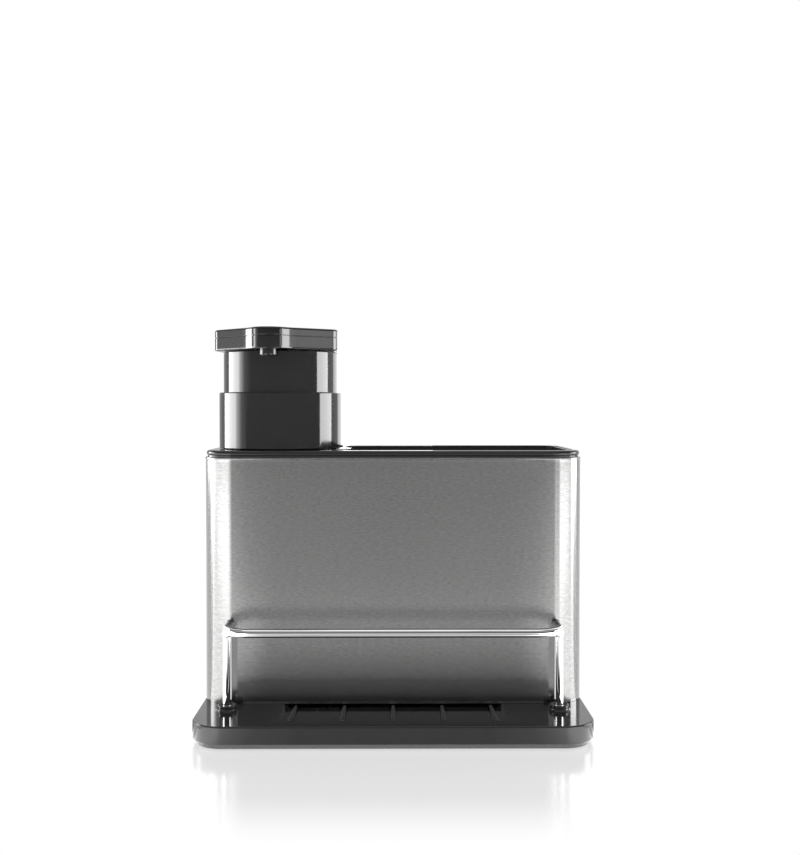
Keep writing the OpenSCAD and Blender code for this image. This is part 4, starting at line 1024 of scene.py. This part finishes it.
def build_screens():
    """Grey and bright surroundings, as the steel and the gloss mirror them."""
    screen("low", ROOM_R, -0.9, ROOM_LOW, [
        (-99, BOUNCE), (-28, BOUNCE), (-22, 3.8), (-18, 2.5), (-14, 1.5), (-12.4, 1.15), (-11.6, 0.76),
        (-9, 0.68), (0, 0.63), (9, 0.7), (11.5, 0.78), (12.2, 1.0), (13, 1.4), (17, 2.1), (29, 2.1),
        (36, BOUNCE), (95, BOUNCE)])
    left, right, dim, high = -60, 79, 0.02, 0.3
    screen("room", ROOM_R, ROOM_LOW, ROOM_HIGH, [(left, ROOM), (right, ROOM)])
    screen("dim", DIM_R, ROOM_HIGH, 0.75, [(left, dim), (right, dim)])
    screen("high", DIM_R, 0.75, TOP_Z, [(left, high), (right, high)])
    screen("high_left", DIM_R, BOX_HIGH, TOP_Z, [(-125, 0.25), (left, 0.25)])
    screen("high_right", DIM_R, BOX_HIGH, TOP_Z, [(right, 0.25), (115, 0.25)])
    screen("box_left", BOX_R, ROOM_LOW, BOX_HIGH, [
        (-104, BOX), (-87, BOX), (-87, 8.0), (-74, 1.4), (left, ROOM)])
    screen("box_right", BOX_R, ROOM_LOW, BOX_HIGH, [(80, BOX), (111, BOX)])
    screen("box_near", 0.3, 0.137, 0.26, [(-117, BOX), (-98, BOX)], AXIS)


def build_dispenser_screens():
    """Narrow screens round the dispenser, for the bands on collar and cap."""
    screen("collar_ring", 0.16, 0.146, 0.175, [(-55, ROOM), (71, ROOM)], AXIS)
    for tag, first, last, glow in (("left", -170, -105, 0.6), ("right", 114, 165, 3.4)):
        screen("collar_" + tag, 0.1, COLLAR_GLOW_LOW, COLLAR_GLOW_HIGH, [(first, glow), (last, glow)], AXIS)
    for tag, radius, low, first, last, glow in (
            ("left", 0.09, CAP_GLOW_LOW, -87.5, -64, 1.35), ("left_end", 0.09, CAP_GLOW_LOW, -190, -99, 0.5),
            ("right", 0.12, 0.2145, 50, 67, 2.75), ("right_end", 0.1, CAP_GLOW_LOW, 92, 165, 3.2)):
        screen("cap_" + tag, radius, low, CAP_GLOW_TOP, [(first, glow), (last, glow)], AXIS)


def build_side_cards():
    """Cards on the table beside the object, as the tray's rounded edge and corners mirror them. The edge
    cards glow less towards the middle: painted shade of the table near the tray.
    """
    tray_side, card_side, end, table_glow, edge_glow = 0.109, 0.135, 0.9, 2.6, 4.2
    near, tray_front, corner, flank = -0.11, -0.069, -0.05, -0.036
    for side, tag in ((-1, "left"), (1, "right")):
        card("near_" + tag, side, [(0.13, TABLE_EDGE, near, table_glow), (end, TABLE_EDGE, near, table_glow)])
        card("beside_" + tag, side, [(card_side, near, 0.0, table_glow), (end, near, 0.0, table_glow)])
        # the edge card's glow falls from 4.2 at the tray's sides to 0.85 towards its middle: painted shade of
        # the table before the tray, as the steel and the tray mirror it
        card("edge_" + tag, side, [(x, near, tray_front, glow) for x, glow in (
            (0.055, 0.85), (0.077, 1.1), (0.087, 1.7), (0.093, 2.3), (0.101, 3.6),
            (tray_side, edge_glow), (card_side, edge_glow))])
        card("corner_" + tag, side, [(0.1, tray_front, -0.056, edge_glow),
                                     (tray_side, tray_front, corner, edge_glow),
                                     (card_side, tray_front, corner, edge_glow)])
        for name, front, rear, far_side, glow in (("flank_", corner, flank, card_side, 2.0),
                                                  ("far_", flank, 0.0, card_side, 0.6),
                                                  ("far_out_", 0.0, 0.9, end, 1.2)):
            card(name + tag, side, [(tray_side, front, rear, glow), (far_side, front, rear, glow)])


def build_front_cards():
    """Painted shade for the steel's mirror image: a card on the table before the tray that glows less towards
    the tray, and a near-black sheet just over the ledge, as the steel behind mirrors them.
    """
    # the glow falls from 1 far out to nothing near the tray: painted shade of the table there as the steel
    # mirrors it, brighter at the sides
    front = [(-0.3, 1.0), (-0.24, 0.95), (-0.2, 0.75), (-0.175, 0.4), (-0.155, 0.05), (-0.112, 0.0)]
    across = [(-0.135, 2.0), (-0.105, 2.0), (-0.095, 1.0), (0.095, 1.0), (0.105, 1.8), (0.135, 1.8)]
    panel("table_shade_card", [(x, y, CARD_Z) for y, glow in front for x, share in across],
          grid_faces(len(front), len(across)), [glow * share for y, glow in front for x, share in across],
          CARD_GLOW)
    # near-black one-sided sheet just above the ledge, glowing 0.04 at the front and 0.01 at the rear: painted
    # shade at the sleeve's foot as the steel mirrors the ledge
    half, front_y, rear_y = 0.086, -0.0655, -0.0244
    panel("ledge_shade_sheet", [(-half, front_y, LEDGE_SHADE_Z), (half, front_y, LEDGE_SHADE_Z),
                         (half, rear_y, LEDGE_SHADE_Z), (-half, rear_y, LEDGE_SHADE_Z)],
          [(0, 1, 2, 3)], [0.04, 0.04, 0.01, 0.01], CARD_GLOW)


def build_wire_reflection_skins():
    """Glowing skins round the rear side of the rail and its posts: a painted reflection of them, standing in
    for their own, as the steel behind them mirrors it.
    """
    # the rail's stations are (x, y, inward x, inward y)
    bend = [(math.sin(math.radians(a)), math.cos(math.radians(a))) for a in range(90, -1, -10)]
    right = [(RAIL_X, -26.0, -1.0, 0.0)]
    right += [(RAIL_X - BEND_R + BEND_R * s, POST_Y - BEND_R * c, -s, c) for s, c in bend]
    loop = right + [(-x, y, -nx, ny) for x, y, nx, ny in reversed(right)]
    skin_r = 0.0028
    rear_side = [(skin_r * math.cos(math.radians(a)), skin_r * math.sin(math.radians(a)))
                 for a in range(-20, 201, 20)]
    points = [(x * MM + nx * v, y * MM + ny * v, BAR_Z * MM + u)
              for x, y, nx, ny in loop for u, v in rear_side]
    # the skin round the bar glows evenly at 0.66: painted reflection of the bar in the steel
    panel("bar_reflection_skin", points, grid_faces(len(loop), len(rear_side)), [0.66] * len(points), CARD_GLOW)
    for side, tag in ((-1, "left"), (1, "right")):
        points = [(side * RAIL_X * MM + u, POST_Y * MM + v, z) for u, v in rear_side for z in (0.018, 0.054)]
        # the skin round each post glows evenly at 0.9: painted reflection of the post in the steel
        panel("post_reflection_skin_" + tag, points, grid_faces(len(rear_side), 2), [0.9] * len(points), CARD_GLOW)


def build_lamp():
    """Soft light from above, for the matt surfaces and the shadow."""
    light = bpy.data.lights.new("top", "AREA")
    light.shape = "RECTANGLE"
    light.size, light.size_y = 1.6, 1.2
    light.energy = 5
    lamp = bpy.data.objects.new("top", light)
    bpy.context.scene.collection.objects.link(lamp)
    lamp.location = (0.0, -0.3, 1.6)
    lamp.rotation_euler = (math.radians(-8), 0, 0)
    lamp.visible_glossy = False


def build_camera():
    sensor, focal_pixels, photo_width = 36, 1115, 800
    downward, turned = 1.053, -0.35
    lens = bpy.data.cameras.new("camera")
    lens.sensor_width = sensor
    lens.sensor_fit = "HORIZONTAL"
    lens.lens = sensor * focal_pixels / photo_width
    lens.clip_start = 0.01
    camera = bpy.data.objects.new("camera", lens)
    bpy.context.scene.collection.objects.link(camera)
    camera.location = (0, -0.6405, 0.1775)
    camera.rotation_euler = (math.radians(90 - downward), 0, math.radians(turned))
    bpy.context.scene.camera = camera


build_floor()
build_world()
build_screens()
build_dispenser_screens()
build_side_cards()
build_front_cards()
build_wire_reflection_skins()
build_lamp()
build_camera()

bpy.context.scene.view_settings.view_transform = "Standard"
